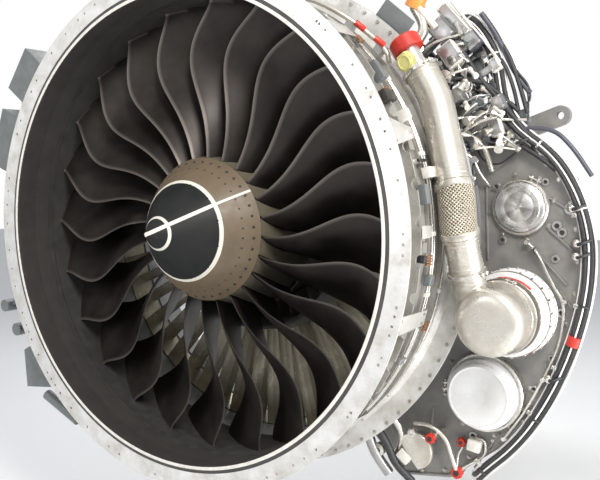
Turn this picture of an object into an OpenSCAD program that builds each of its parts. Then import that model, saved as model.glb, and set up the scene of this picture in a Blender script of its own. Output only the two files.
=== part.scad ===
/* [Fan] */
// Radius of the fan at the blade tips
fan_r = 1475; // [1400:5:1550]
// Number of fan blades
blade_count = 24; // [20:1:26]
// Running gap between a blade tip and the fan track
tip_gap = 5; // [3:0.5:8]
// Radius of the flow line where the blade roots start
hub_r = 463; // [440:1:480]
// Rise of the flow line from the front to the back of the blade roots
hub_rise = 97; // [60:1:120]
// Axial place of the root leading edge
blade_y = 316; // [312:1:340]
// How far the tip leading edge lies behind the root one
tip_sweep = 84; // [40:1:110]
// Chord of a blade at its root
chord_root = 400; // [360:5:410]
// Chord of a blade at half span
chord_mid = 520; // [460:5:560]
// Chord of a blade at its tip
chord_tip = 560; // [500:5:600]
// Angle between the chord and the shaft at the root
stagger_root = 9; // [5:0.5:12]
// Angle between the chord and the shaft at half span
stagger_mid = 40; // [34:0.5:46]
// Angle between the chord and the shaft at the tip
stagger_tip = 60; // [56:0.5:64]
// Thickness of a blade at its root
thick_root = 34; // [26:1:40]
// Thickness of a blade at its tip
thick_tip = 11; // [8:0.5:16]
// Forward lean of the leading edge at about two thirds of the span, in degrees
lean_bulge = 8.1; // [4:0.1:10]
// Lean of the leading edge at the tip, in degrees
lean_tip = 3.6; // [0:0.1:6]

/* [Spinner] */
// Length of the black cone from its tip to its rear edge
cone_len = 348; // [300:1:380]
// Radius of the black cone's rear edge
cone_r = 320; // [290:1:340]
// Axial place of the black cone's rear edge
cone_y = 118; // [100:1:140]
// Wall of the cone and of the fairing ring
spinner_wall = 9; // [6:0.5:14]
// Number of screws round the black cone
cone_screws = 12; // [8:1:16]
// Number of bolts round the fairing ring
ring_bolts = 40; // [24:1:48]

/* [Fan case] */
// How far the lip at the front flange stands inside the fan track
lip_drop = 25; // [10:1:60]
// Length of the front barrel panel
panel_len = 282; // [220:2:320]
// Thickness of the linings inside the case
lining_t = 18; // [12:1:24]
// Wall of the fan case
case_wall = 20; // [14:1:30]
// Height of the front flange above the case
front_flange_h = 97.7; // [80:0.1:130]
// Thickness of the bolted flanges
flange_t = 14; // [10:1:20]
// Axial place of the joint between the front and rear fan case
mid_y = 800; // [770:5:840]
// Height of the middle flange above the case
mid_flange_h = 146; // [120:2:170]
// Axial place of the scalloped flange
scallop_y = 205; // [170:5:250]
// Height of the scalloped flange above the case
scallop_h = 62; // [40:1:80]
// Axial place of the rear fan case's rear face
rear_y = 1480; // [1450:5:1560]
// Number of holes for the air intake's bolts
intake_holes = 30; // [24:1:36]
// Radius of an intake bolt hole
intake_hole_r = 9; // [6:0.5:10]
// Distance from the front flange's rim to the intake bolt circle
intake_edge = 41; // [30:1:50]
// Number of bolts through the middle flange
mid_bolts = 90; // [60:2:120]

/* [Outlet vanes and frame] */
// Number of outlet guide vanes behind the fan
ogv_count = 52; // [40:1:60]
// Axial chord of an outlet guide vane
ogv_chord = 190; // [150:5:220]
// Radius of the core fairing where the bypass duct starts
core_r = 760; // [720:5:800]
// Number of struts in the intermediate case
strut_count = 10; // [8:1:12]
// Number of core inlet vanes
inlet_vanes = 40; // [30:1:48]

/* [Core] */
// Outer radius of the fan shaft
shaft_r = 72; // [60:1:80]
// Number of blades in the last turbine stage
turbine_blades = 48; // [36:1:60]
// Axial place of the exhaust nozzle's lip
nozzle_y = 4700; // [4600:10:4900]
// Radius of the exhaust nozzle's lip
nozzle_r = 640; // [600:5:700]
// Axial place of the tail cone's tip
tail_y = 5040; // [4950:10:5150]

/* [Gearbox] */
// Axial place of the gearbox's front face
gearbox_y = 1100; // [1060:5:1150]
// Depth of the gearbox casting
gearbox_depth = 190; // [150:5:220]
// Angle of the upper pad about the shaft, in degrees
upper_pad_a = 5; // [2:0.5:8]
// Radius of the upper pad's cover
upper_pad_r = 155; // [130:1:165]
// Angle of the lower pad about the shaft, in degrees
lower_pad_a = -31.5; // [-34:0.5:-29]
// Radius of the lower pad's cover
lower_pad_r = 232; // [200:2:245]
// How far the lower pad's cover stands in front of the gearbox
lower_pad_len = 150; // [100:5:180]

/* [Starter] */
// Angle of the starter about the shaft, in degrees
starter_a = -14; // [-16:0.5:-12]
// Radius of the starter's body
starter_r = 262; // [230:2:270]
// Radius of the rounded drum of the duct's elbow
elbow_r = 198; // [180:2:204]
// Axial place of the elbow's front
elbow_y = 485; // [470:5:520]
// Outer radius of the air duct
duct_r = 97; // [80:1:105]
// Wall of the air duct
duct_wall = 4; // [3:0.5:6]

/* [Hidden] */

// Facets of a full turn
round_fn = 96;
// Clearance between pieces that seat on each other, and the running gap of a bearing roller
seat = 0.3;
running = 0.08;

// Radii that follow from the fan
track_r = fan_r + tip_gap;
case_in = track_r + lining_t + seat;
case_r = case_in + case_wall;
front_y = 0;
track_y0 = panel_len + 2;
lip_r = track_r - lip_drop;
front_flange_r = case_r + front_flange_h;
mid_flange_r = case_r + mid_flange_h;
mid_bolt_r = mid_flange_r - 24;
intake_pcd_r = front_flange_r - intake_edge;
rear_in = track_r;
rear_wall = 12;
rear_r = rear_in + rear_wall;
rear_flange_r = rear_r + 48;

// Clusters of further open holes in the front flange, by angle in degrees
extra_holes = [
    2, -2, 18, 21.5, 28.6, 30.6, 45.3, 47.2, 113.5, 117.4, 125.3, 140.6, 152.3, 171.4, 175.1,
    187, 196.7, 207.4, 209.3, 211.5, 221.4, 223.4, 225.4, 233.1, 248.3, 297.2, 305, 308.3,
    322.8, 337.6, 342.4, 344.2, 346.2
];

// Value at span s of a smooth curve through a root, a middle and a tip value
function along(a, b, c, s) = a + (4 * b - 3 * a - c) * s + 2 * (a - 2 * b + c) * s * s;

// Point at radius r, angle a about the shaft and axial place y
function polar(r, a, y) = [r * cos(a), y, r * sin(a)];

// Airfoil with n steps from edge to edge: [chord fraction, camber offset, half thickness]
function foil_u(i, n) = (1 - cos(180 * i / n)) / 2;
function foil_t(u) = sin(180 * pow(u, 0.75));
function foil(chord, camber, thick, n) = concat(
    [for (i = [0:n]) [
        camber * 4 * foil_u(i, n) * (1 - foil_u(i, n)) + thick / 2 * foil_t(foil_u(i, n)),
        chord * foil_u(i, n)]],
    [for (i = [n - 1:-1:1]) [
        camber * 4 * foil_u(i, n) * (1 - foil_u(i, n)) - thick / 2 * foil_t(foil_u(i, n)),
        chord * foil_u(i, n)]]
);

// Turns a shape drawn round +Z so that its axis lies along the shaft, +Y
module along_shaft(y = 0) translate([0, y, 0]) rotate([-90, 0, 0]) children();

// Solid of revolution about the shaft from [radius, axial place] points
module turned(points) rotate([-90, 0, 0]) rotate_extrude($fn = round_fn) polygon(points);

// Straight ring about the shaft
module ring(r_out, r_in, y0, y1) turned([[r_in, y0], [r_out, y0], [r_out, y1], [r_in, y1]]);

// Disc or boss whose axis is parallel to the shaft, at a point in the cross plane
module boss(centre, r, y0, y1) along_shaft() translate([centre[0], -centre[2], y0])
    cylinder(r = r, h = y1 - y0, $fn = 64);

// Copies round the shaft; the first stands on +X
module around(count, first = 0) for (i = [0:count - 1]) rotate([0, -first - 360 * i / count, 0])
    children();

// Straight rod between two points
module rod(a, b, r, fn = 48) {
    d = b - a;
    l = norm(d);
    translate(a) rotate([0, acos(d[2] / l), atan2(d[1], d[0])]) cylinder(r = r, h = l, $fn = fn);
}

// Radial vane standing along +X from radius r0 to r1, turned by its stagger
module vane(r0, r1, chord, camber, thick, stagger, y)
    translate([0, y, 0]) rotate([0, 90, 0]) translate([0, 0, r0])
        linear_extrude(height = r1 - r0) rotate(stagger) translate([0, -chord / 2])
            polygon(foil(chord, camber, thick, 5));

// Tube of sides faces swept along points, for soft lines that are held all the way
function unit(v) = v / norm(v);
function heading(p, i) = unit(p[min(i + 1, len(p) - 1)] - p[max(i - 1, 0)]);
function side_of(t) = unit(cross(t, abs(t[1]) > 0.9 ? [1, 0, 0] : [0, 1, 0]));
module swept(points, r, sides = 8) {
    last = len(points) - 1;
    verts = [for (i = [0:last]) let (t = heading(points, i), u = side_of(t), v = cross(t, u))
        for (k = [0:sides - 1]) points[i] + r * (cos(360 * k / sides) * u + sin(360 * k / sides) * v)];
    walls = [for (i = [0:last - 1], k = [0:sides - 1])
        let (a = i * sides + k, b = i * sides + (k + 1) % sides)
        each [[a, b + sides, b], [a, a + sides, b + sides]]];
    ends = [[for (k = [0:sides - 1]) k], [for (k = [sides - 1:-1:0]) last * sides + k]];
    polyhedron(points = verts, faces = concat(ends, walls), convexity = 6);
}

// Length of the fairing ring behind the black cone
fairing_len = 190;
fairing_y = cone_y + fairing_len;

// FAN ROTOR

// Blade sections by span fraction s: leading edge place, lean, chord, stagger, camber, thickness
blade_spans = 9;
foil_steps = 6;
platform_t = 12;
foot_r = hub_r - 30;
blade_h = fan_r - foot_r;
function span_r(s) = foot_r + s * blade_h;
function edge_y(s) = blade_y + tip_sweep * pow(s, 2.2);
function lean(s) = lean_bulge * pow(sin(180 * pow(s, 1.42)), 1.5) + lean_tip * s;
function stagger(s) = along(stagger_root, stagger_mid, stagger_tip, s);
function chord(s) = along(chord_root, chord_mid, chord_tip, s);
function camber(s) = chord(s) * along(0.085, 0.055, 0.018, s);
function thick(s) = thick_root + (thick_tip - thick_root) * pow(s, 0.75);

// Offsets [across, along] of foil point u on side sgn, from the leading edge
function blade_xy(s, u, sgn) = let (
    c = -camber(s) * 4 * u * (1 - u) + sgn * thick(s) / 2 * foil_t(u),
    g = stagger(s)
) [-u * chord(s) * sin(g) + c * cos(g), u * chord(s) * cos(g) + c * sin(g)];
// Where that foil point lies on the cylinder of radius r, for the blade that starts at angle a
function blade_point(s, u, sgn, r, a) = let (d = blade_xy(s, u, sgn))
    polar(r, a + lean(s) + d[0] / r * 180 / PI, edge_y(s) + d[1]);
function blade_ring(s, a) = concat(
    [for (i = [0:foil_steps]) blade_point(s, foil_u(i, foil_steps), -1, span_r(s), a)],
    [for (i = [foil_steps - 1:-1:1]) blade_point(s, foil_u(i, foil_steps), 1, span_r(s), a)]
);

module blade_foil(a) {
    m = 2 * foil_steps;
    verts = [for (j = [0:blade_spans]) each blade_ring(j / blade_spans, a)];
    walls = [for (j = [0:blade_spans - 1], k = [0:m - 1]) let (p = j * m + k, q = j * m + (k + 1) % m)
        each [[p, q + m, q], [p, p + m, q + m]]];
    function cap(o) = concat([[o, o + 1, o + m - 1]], [for (i = [1:foil_steps - 2])
        each [[o + i, o + i + 1, o + m - i], [o + i + 1, o + m - i - 1, o + m - i]]],
        [[o + foil_steps - 1, o + foil_steps, o + foil_steps + 1]]);
    foot = cap(0);
    tip = [for (f = cap(blade_spans * m)) [f[0], f[2], f[1]]];
    polyhedron(points = verts, faces = concat(foot, walls, tip), convexity = 4);
}

// Dovetail foot under the blade, drawn across (x) and outward (y), then run along the shaft
foot_y0 = blade_y + 14;
foot_y1 = blade_y + chord_root - 20;
neck_w = 38;
tail_w = 66;
tail_r = foot_r - 62;
neck_r = foot_r - 26;
disc_r = neck_r - 4;
slot_gap = 0.2;
root_bias = -camber(0) * 1.4 - 20;
module dovetail(grow) polygon([
    [-tail_w / 2 - grow, tail_r - grow], [tail_w / 2 + grow, tail_r - grow],
    [tail_w / 2 + grow, tail_r + 12], [neck_w / 2 + grow, neck_r - 8], [neck_w / 2 + grow, foot_r + 6],
    [-neck_w / 2 - grow, foot_r + 6], [-neck_w / 2 - grow, neck_r - 8], [-tail_w / 2 - grow, tail_r + 12]
]);
// The foot is drawn standing on +Z and turned to angle a
module blade_foot(a, grow, y0, y1) rotate([0, 90 - a, 0]) translate([0, y1, 0]) rotate([90, 0, 0])
    translate([-root_bias, 0]) linear_extrude(height = y1 - y0) dovetail(grow);
blade_first = 11.5;
function blade_angle(i) = blade_first + 360 * i / blade_count;

module fan_blades() color([0.30, 0.27, 0.25]) for (i = [0:blade_count - 1]) union() {
    blade_foil(blade_angle(i));
    blade_foot(blade_angle(i), 0, foot_y0, foot_y1);
}

// Flow line of the fillers, and the fillers' gap to each blade
filler_y0 = cone_y + fairing_len + 4;
filler_y1 = blade_y + chord_root + 8;
filler_gap = 8;
filler_steps = 10;
function flow_r(y) = hub_r + hub_rise * pow(max(0, (y - filler_y0) / (filler_y1 - filler_y0)), 1.15);
function filler_edge(u, sgn, a, top) = let (
    y = filler_y0 + u * (filler_y1 - filler_y0),
    r = flow_r(y) - (top ? 0 : platform_t),
    s = max(0, (r - foot_r) / blade_h),
    e = edge_y(s),
    v = min(1, max(0, (y - e) / (chord(s) * cos(stagger(s))))),
    d = blade_xy(s, v, sgn)
) polar(r, a + lean(s) + (d[0] + sgn * filler_gap) / r * 180 / PI, y);
module filler_top(a) {
    pitch = 360 / blade_count;
    verts = [for (i = [0:filler_steps]) let (u = i / filler_steps) each [
        filler_edge(u, 1, a, false), filler_edge(u, -1, a + pitch, false),
        filler_edge(u, -1, a + pitch, true), filler_edge(u, 1, a, true)]];
    walls = [for (i = [0:filler_steps - 1], k = [0:3]) let (p = 4 * i + k, q = 4 * i + (k + 1) % 4)
        each [[p, q + 4, q], [p, p + 4, q + 4]]];
    e = 4 * filler_steps;
    polyhedron(points = verts, faces = concat([[0, 1, 2], [0, 2, 3]], walls,
        [[e, e + 2, e + 1], [e, e + 3, e + 2]]), convexity = 4);
}
// Hooked legs that carry a filler on the disc's rim between two blade feet
leg_w = 18;
leg_t = 26;
leg_y = [foot_y0 + 40, foot_y1 - 60];
module filler_leg(a, y) rotate([0, -a, 0]) translate([disc_r + seat, y, -leg_w / 2])
    cube([flow_r(y) - platform_t / 2 - disc_r, leg_t, leg_w]);
function filler_mid(y) = 180 / blade_count - 1.4 * camber(0) / hub_r * 180 / PI - 1.5;
module annulus_fillers() color([0.43, 0.39, 0.32]) for (i = [0:blade_count - 1]) union() {
    filler_top(blade_angle(i));
    for (y = leg_y) filler_leg(blade_angle(i) + filler_mid(y), y);
}

// Disc: bore, web and rim with the blade slots
disc_bore = shaft_r + 40;
disc_bolts = 12;
hub_face = foot_y1 - 40;
module fan_disc() color([0.45, 0.45, 0.46]) difference() {
    turned([
        [disc_bore, foot_y0 + 40], [disc_bore + 90, foot_y0 + 40], [disc_bore + 110, foot_y0 + 110],
        [tail_r - 70, foot_y0 + 120], [tail_r - 40, foot_y0 + 60], [tail_r - 40, foot_y0],
        [disc_r, foot_y0],
        [disc_r, foot_y1], [tail_r - 40, foot_y1], [tail_r - 40, foot_y1 - 60],
        [tail_r - 70, foot_y1 - 120],
        [disc_bore + 110, foot_y1 - 110], [disc_bore + 90, hub_face], [disc_bore, hub_face]
    ]);
    for (i = [0:blade_count - 1]) blade_foot(blade_angle(i), slot_gap, foot_y0 - 1, foot_y1 + 1);
    along_shaft(hub_face - 90) around_z(disc_bolts) translate([disc_bore + 55, 0, 0])
        cylinder(r = 9, h = 100, $fn = 24);
}
module around_z(count) for (i = [0:count - 1]) rotate([0, 0, 360 * i / count]) children();

// Spinner: black cone and tan fairing ring, both thin shells
screw_r = 5;
module cone_hole(r) translate([cone_r - 20, cone_y - 60, 0]) rotate([-90, 0, 0]) cylinder(r = r,
    h = 90, $fn = 24);
cone_tip_y = cone_y - cone_len;
nose_r = 14;
cone_lip = 16;
module spinner_cone() color([0.17, 0.19, 0.2]) difference() {
    turned([
        [0, cone_tip_y + 6], [nose_r, cone_tip_y + 12], [nose_r + 8, cone_tip_y + 30], [cone_r, cone_y],
        [cone_r - 2, cone_y + cone_lip], [cone_r - 34, cone_y + cone_lip],
        [cone_r - 34, cone_y + cone_lip - 8],
        [cone_r - spinner_wall * 1.5, cone_y + 2], [nose_r, cone_tip_y + 42], [0, cone_tip_y + 42]
    ]);
    around(cone_screws, 15) cone_hole(screw_r + seat);
}
// The fairing's outline runs from the cone's edge to the front of the fillers
function fairing_r(t) = cone_r + (hub_r - cone_r) * (1.08 * t - 0.08 * t * t);
fairing_bolt_t = 0.5;
module spinner_fairing() color([0.53, 0.46, 0.39]) difference() {
    turned(concat(
        [for (i = [0:6]) [fairing_r(i / 6), cone_y + 1 + (fairing_len - 1) * i / 6]],
        [[hub_r - 30, fairing_y], [disc_r, foot_y0 - 12], [disc_r, foot_y0 - seat],
        [tail_r - 26, foot_y0 - seat],
         [tail_r - 26, foot_y0 - 12], [disc_r - 12, fairing_y], [hub_r - 32, fairing_y - 20]],
        [for (i = [5:-1:2]) [fairing_r(i / 6) - spinner_wall * 1.3, cone_y + 10 + (fairing_len - 22)
        * i / 6]],
        [[cone_r - 32, cone_y + cone_lip + 18], [cone_r - 32, cone_y + cone_lip + seat],
         [cone_r + 0.5, cone_y + cone_lip + seat]]
    ));
    around(cone_screws, 15) cone_hole(screw_r + seat);
    around(ring_bolts, 4) ring_bolt(6.5, -30, 60);
}
module ring_bolt(r, z, h) translate([fairing_r(fairing_bolt_t), cone_y + fairing_len * fairing_bolt_t, 0])
    rotate([0, 0, -53]) rotate([0, 90, 0]) translate([0, 0, z]) cylinder(r = r, h = h, $fn = 24);
// Screws of the cone, bolts of the fairing ring, and the bolts between shaft and disc
module rotor_screws() color([0.35, 0.33, 0.31]) {
    around(cone_screws, 15) translate([cone_r - 20, cone_y - 14, 0]) rotate([-90, 0, 0])
        cylinder(r = screw_r, h = cone_lip + 26, $fn = 24);
    around(ring_bolts, 4) ring_bolt(6.2, -14, 12);
    around(disc_bolts) translate([disc_bore + 55, hub_face - 80, 0]) rotate([-90, 0, 0]) {
        cylinder(r = 9 - seat, h = 104 + seat, $fn = 24);
        translate([0, 0, 104 + seat]) cylinder(r = 15, h = 12, $fn = 6);
    }
}

// FAN CASE

module flange_holes(angles, r, hole_r, y0, y1) for (a = angles) rotate([0, -a, 0])
    translate([r, y0, 0]) rotate([-90, 0, 0]) cylinder(r = hole_r, h = y1 - y0, $fn = 24);
function even(count, first = 0) = [for (i = [0:count - 1]) first + 360 * i / count];

// Front case: intake flange, scalloped flange, stiffening ribs and middle flange
scallops = 48;
scallop_r = case_r + scallop_h;
module fan_case() color([0.86, 0.87, 0.88]) difference() {
    turned([
        [case_in, front_y], [front_flange_r, front_y], [front_flange_r, flange_t], [case_r + 16, flange_t],
        [case_r, flange_t + 40], [case_r, scallop_y], [scallop_r, scallop_y],
        [scallop_r, scallop_y + flange_t],
        [case_r, scallop_y + flange_t], [case_r, 400], [case_r + 22, 400], [case_r + 22, 412],
        [case_r, 412],
        [case_r, 590], [case_r + 22, 590], [case_r + 22, 602], [case_r, 602],
        [case_r, mid_y - flange_t - 40],
        [case_r + 26, mid_y - flange_t], [mid_flange_r, mid_y - flange_t], [mid_flange_r, mid_y],
        [case_in, mid_y]
    ]);
    flange_holes(even(intake_holes), intake_pcd_r, intake_hole_r, -1, flange_t + 1);
    flange_holes(extra_holes, intake_pcd_r, intake_hole_r - 1, -1, flange_t + 1);
    flange_holes(even(scallops, 3.75), scallop_r + 4, 34, scallop_y - 1, scallop_y + flange_t + 1);
    flange_holes(even(scallops), scallop_r - 20, 6, scallop_y - 1, scallop_y + flange_t + 1);
    flange_holes(even(mid_bolts), mid_bolt_r, 7, mid_y - flange_t - 1, mid_y + 1);
}
// Front barrel panel with its bright lip, a little proud of the flange
module front_barrel_panel() color([0.28, 0.27, 0.26]) turned([
    [lip_r, front_y - 4], [lip_r + 22, front_y - 4], [case_in - seat, front_y + 2],
    [case_in - seat, panel_len],
    [track_r - 2, panel_len], [track_r - 4, panel_len * 0.6], [lip_r, 14]
]);
module fan_track_lining() color([0.13, 0.12, 0.12]) difference() {
    ring(case_in - seat, track_r, track_y0, mid_y);
    for (y = [track_y0 + 40, 742]) turned([[track_r - 1, y], [track_r + 4, y], [track_r + 4, y + 4],
        [track_r - 1, y + 4]]);
}
// Rear case over the outlet vanes and struts
module rear_fan_case() color([0.70, 0.70, 0.71]) difference() {
    turned([
        [rear_in, mid_y + seat], [mid_flange_r, mid_y + seat], [mid_flange_r, mid_y + flange_t],
        [rear_r + 20, mid_y + flange_t], [rear_r, mid_y + flange_t + 30], [rear_r, 960],
        [rear_r + 30, 960],
        [rear_r + 30, 972], [rear_r, 972], [rear_r, rear_y - flange_t], [rear_flange_r, rear_y - flange_t],
        [rear_flange_r, rear_y], [rear_in, rear_y]
    ]);
    flange_holes(even(mid_bolts), mid_bolt_r, 7, mid_y - 1, mid_y + flange_t + 1);
    flange_holes(even(60), rear_flange_r - 18, 6, rear_y - flange_t - 1, rear_y + 1);
}
// Bolts of the middle flange: head in front, shank, nut behind
module flange_bolts() color([0.55, 0.55, 0.55]) around(mid_bolts) translate([mid_bolt_r,
    mid_y - flange_t, 0])
    rotate([-90, 0, 0]) {
        translate([0, 0, -9.2]) cylinder(r = 12, h = 9, $fn = 6);
        translate([0, 0, -0.3]) cylinder(r = 6.6, h = 2 * flange_t + 10, $fn = 24);
        translate([0, 0, 2 * flange_t + seat + 0.2]) cylinder(r = 12, h = 10, $fn = 6);
    }

// STATIC FRAME

// Places along the shaft where the core's casings meet
inlet_y0 = 1050;
inlet_y1 = 1160;
swan_y0 = 1860;
swan_y1 = 1955;
burner_y0 = 2480;
turbine_y0 = 3011;
turbine_y1 = 4231;
outlet_y = 4440;
// Inner lines of the casings: radius at the front and at the rear, then the two places
ipc_line = [698, 560, inlet_y1, swan_y0];
hpc_line = [446, 404, swan_y1, burner_y0];
turbine_line = [458, 658, turbine_y0, turbine_y1];
function line_r(line, y) = line[0] + (line[1] - line[0]) * (y - line[2]) / (line[3] - line[2]);
blade_clear = 3;
shell_t = 10;
joint_t = 12;

ogv_y = 1140;
ogv_y0 = ogv_y - ogv_chord / 2 - 20;
frame_y0 = 1272;
frame_y1 = 1460;
core_wall = 8;
module outlet_guide_vanes() color([0.80, 0.77, 0.68]) union() {
    ring(rear_in - seat, rear_in - 8, ogv_y0, ogv_y + ogv_chord / 2 + 20);
    ring(core_r + core_wall, core_r, ogv_y0, frame_y0 - seat);
    around(ogv_count) vane(core_r + core_wall / 2, rear_in - 4, ogv_chord, 16, 15, 12, ogv_y);
}

// Bearings: outer rings are fixed, inner rings and rollers turn with their shaft
brg_y = 900;
rear_brg_y = 4330;
ip_brg_y = [1190, 1840, 3225];
high_brg_y = [1915, 3155];
ip_r = shaft_r + 26;
high_r = ip_r + 26;
shaft_t = 14;
bearing_w = 40;
ring_t = 12;
race_t = 16;
roller_r = 11;
seat_h = 10;
function race(r) = r + seat_h + ring_t + 2 * roller_r + 2 * running;
function housing_r(r) = race(r) + race_t + seat;
lp_bore = housing_r(shaft_r);
ip_bore = housing_r(ip_r);
high_bore = housing_r(high_r);

// Intermediate case: outer ring and struts, the cone that carries the core, the duct between the
// two compressors, and the hub of the middle bearings
hub_t = 22;
duct_struts = 10;
module intermediate_case() color([0.62, 0.62, 0.63]) union() {
    ring(rear_in - seat, rear_in - 14, frame_y0, frame_y1);
    around(strut_count, 90) vane(core_r - 12, rear_in - 7, 150, 0, 34, 0, (frame_y0 + frame_y1) / 2);
    turned([
        [core_r - 26, frame_y0], [core_r + 4, frame_y0], [core_r + 4, frame_y1], [core_r - 14, frame_y1],
        [622, swan_y0 - 10], [622, swan_y0 + 15], [596, swan_y0 + 15], [476, swan_y1 - joint_t],
        [490, swan_y1 - joint_t], [490, swan_y1], [hpc_line[0] + 4, swan_y1],
        [ipc_line[1] + 3, swan_y0 + 6],
        [ipc_line[1] + 3, swan_y0 + seat], [608, swan_y0 + seat], [608, swan_y0 - 12],
        [core_r - 26, frame_y1]
    ]);
    turned([
        [498, swan_y0 - 54], [472, swan_y0 - 10], [336, swan_y1 - 5], [322, swan_y1 - 5], [380, 1902],
        [high_bore + hub_t, 1896], [high_bore + hub_t, 1941], [high_bore, 1941], [high_bore, 1885],
        [ip_bore, 1870],
        [ip_bore, 1813], [ip_bore + hub_t, 1813], [ip_bore + hub_t + 6, 1872], [392, 1878], [462, 1840],
        [488, swan_y0 - 54]
    ]);
    around(duct_struts, 18) translate([0, 0, -8]) linear_extrude(height = 16)
        polygon([[440, 1868], [572, 1868], [498, 1928], [356, 1932]]);
}
// Nose that splits the fan's air between core and bypass
split_y = 838;
nose_in = core_r - 62;
module splitter_nose() color([0.55, 0.55, 0.56]) turned([
    [core_r - 34, split_y], [core_r - 18, split_y + 26], [core_r + core_wall, ogv_y0 - seat],
    [core_r - 8, ogv_y0 - seat], [core_r - 28, split_y + 60], [nose_in + 8, inlet_y0], [nose_in, inlet_y0],
    [core_r - 44, split_y + 12]
]);
// Vanes that straighten the air into the core, between two rings
hub_line = 520;
module core_inlet_vanes() color([0.72, 0.69, 0.60]) union() {
    ring(nose_in + 2, nose_in - 6, inlet_y0 + seat, inlet_y1);
    ring(hub_line, hub_line - joint_t, inlet_y0, inlet_y1);
    around(inlet_vanes) vane(hub_line - 4, nose_in - 2, 84, 12, 9, 16, (inlet_y0 + inlet_y1) / 2);
}
// Inner wall of the bypass duct, behind the outlet vanes, closed at its rear on the turbine case
skirt_y = 3300;
skirt_r = line_r(turbine_line, skirt_y) + joint_t + seat;
module core_fairing() color([0.78, 0.78, 0.78]) turned([
    [core_r - 8, frame_y1 + seat], [core_r + 12, frame_y1 + seat], [core_r + 30, 1900],
    [core_r - 10, 2700],
    [core_r - 70, skirt_y], [skirt_r, skirt_y], [skirt_r, skirt_y - joint_t],
    [core_r - 86, skirt_y - joint_t],
    [core_r - 18, 2700], [core_r + 22, 1900]
]);
// Housing of the front bearings, with the wall of the air passage behind the fan
rim_r = hub_line - joint_t - seat;
module front_bearing_housing() color([0.5, 0.5, 0.51]) union() {
    turned([[568, 760], [hub_line, inlet_y0 - seat], [rim_r, inlet_y0 - seat], [rim_r, 1150],
        [rim_r - 13, 1150],
        [rim_r - 13, inlet_y0 - 10], [560, 760]]);
    turned([[rim_r - 6, 1040], [rim_r - 6, 1064], [lp_bore + 20, brg_y + 36], [lp_bore, brg_y + 30],
        [lp_bore, brg_y - 30], [lp_bore + 18, brg_y - 30], [lp_bore + 26, brg_y]]);
    turned([[rim_r - 6, 1126], [rim_r - 6, 1146], [ip_bore + 18, 1186], [ip_bore + 18, 1216],
        [ip_bore, 1216],
        [ip_bore, 1164], [ip_bore + 18, 1164]]);
}

// Outer rings of the seven bearings
module outer_race(r, y) ring(race(r) + race_t, race(r), y - bearing_w / 2, y + bearing_w / 2);
module bearing_outer_rings() color([0.75, 0.75, 0.76]) {
    for (y = [brg_y, rear_brg_y]) outer_race(shaft_r, y);
    for (y = ip_brg_y) outer_race(ip_r, y);
    for (y = high_brg_y) outer_race(high_r, y);
}
// Inner ring and rollers on a shaft of radius r, and the land that the ring sits on
module inner_bearing(r, y) {
    ring(r + seat_h + ring_t, r + seat_h, y - bearing_w / 2, y + bearing_w / 2);
    along_shaft(y - bearing_w / 2 + 4) around_z(20)
        translate([r + seat_h + ring_t + roller_r + running, 0, 0])
        cylinder(r = roller_r, h = bearing_w - 8, $fn = 24);
}
module shaft_land(r, y) ring(r + seat_h - seat, r - 4, y - bearing_w / 2 - 6, y + bearing_w / 2 + 6);
module shaft_bearings() color([0.8, 0.8, 0.8]) for (y = [brg_y, rear_brg_y]) inner_bearing(shaft_r, y);

// CORE

// Compressor drums: ends along the shaft and hub radius at each end
ipc_y = [1190, 1800];
ipc_hub = [505, 498];
hpc_y = [1965, 2420];
hpc_hub = [332, 350];
ipc_stages = 8;
hpc_stages = 6;
function blend(pair, t) = pair[0] + (pair[1] - pair[0]) * t;

// Outline of a rotor drum with a wheel of blades at each stage, running close to the casing's line
function stage_points(y, hub, line, stages) = [for (k = [0:stages - 1])
    let (t = (k + 0.25) / stages, t2 = (k + 0.7) / stages)
    each [[blend(hub, t), blend(y, t)], [line_r(line, blend(y, t)) - blade_clear, blend(y, t)],
          [line_r(line, blend(y, t2)) - blade_clear, blend(y, t2)], [blend(hub, t2), blend(y, t2)]]];
module drum(y, hub, line, stages, wall, bore, arm_y) turned(concat(
    [[hub[0] - wall, y[0]], [hub[0], y[0]]],
    stage_points(y, hub, line, stages),
    [[hub[1], y[1]], [hub[1] - wall, y[1]],
     [hub[1] - wall, arm_y + 24], [bore + 20, arm_y + 14], [bore, arm_y + 14], [bore, arm_y - 14],
     [bore + 20, arm_y - 14], [blend(hub, 0.4) - wall, arm_y - 24]]
));

module fan_shaft() color([0.6, 0.6, 0.61]) difference() {
    union() {
        ring(shaft_r, shaft_r - 16, foot_y0 + 20, outlet_y - 60);
        turned([[shaft_r - 4, hub_face - 50], [disc_bore - seat, hub_face - 40],
            [disc_bore - seat, hub_face + seat],
            [disc_bore + 100, hub_face + seat], [disc_bore + 100, hub_face + 24],
            [disc_bore + 20, hub_face + 24], [shaft_r - 4, hub_face + 40]]);
        shaft_land(shaft_r, brg_y);
        shaft_land(shaft_r, rear_brg_y);
    }
    along_shaft(hub_face - 1) around_z(disc_bolts) translate([disc_bore + 55, 0, 0])
        cylinder(r = 9, h = 60, $fn = 24);
}

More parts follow.
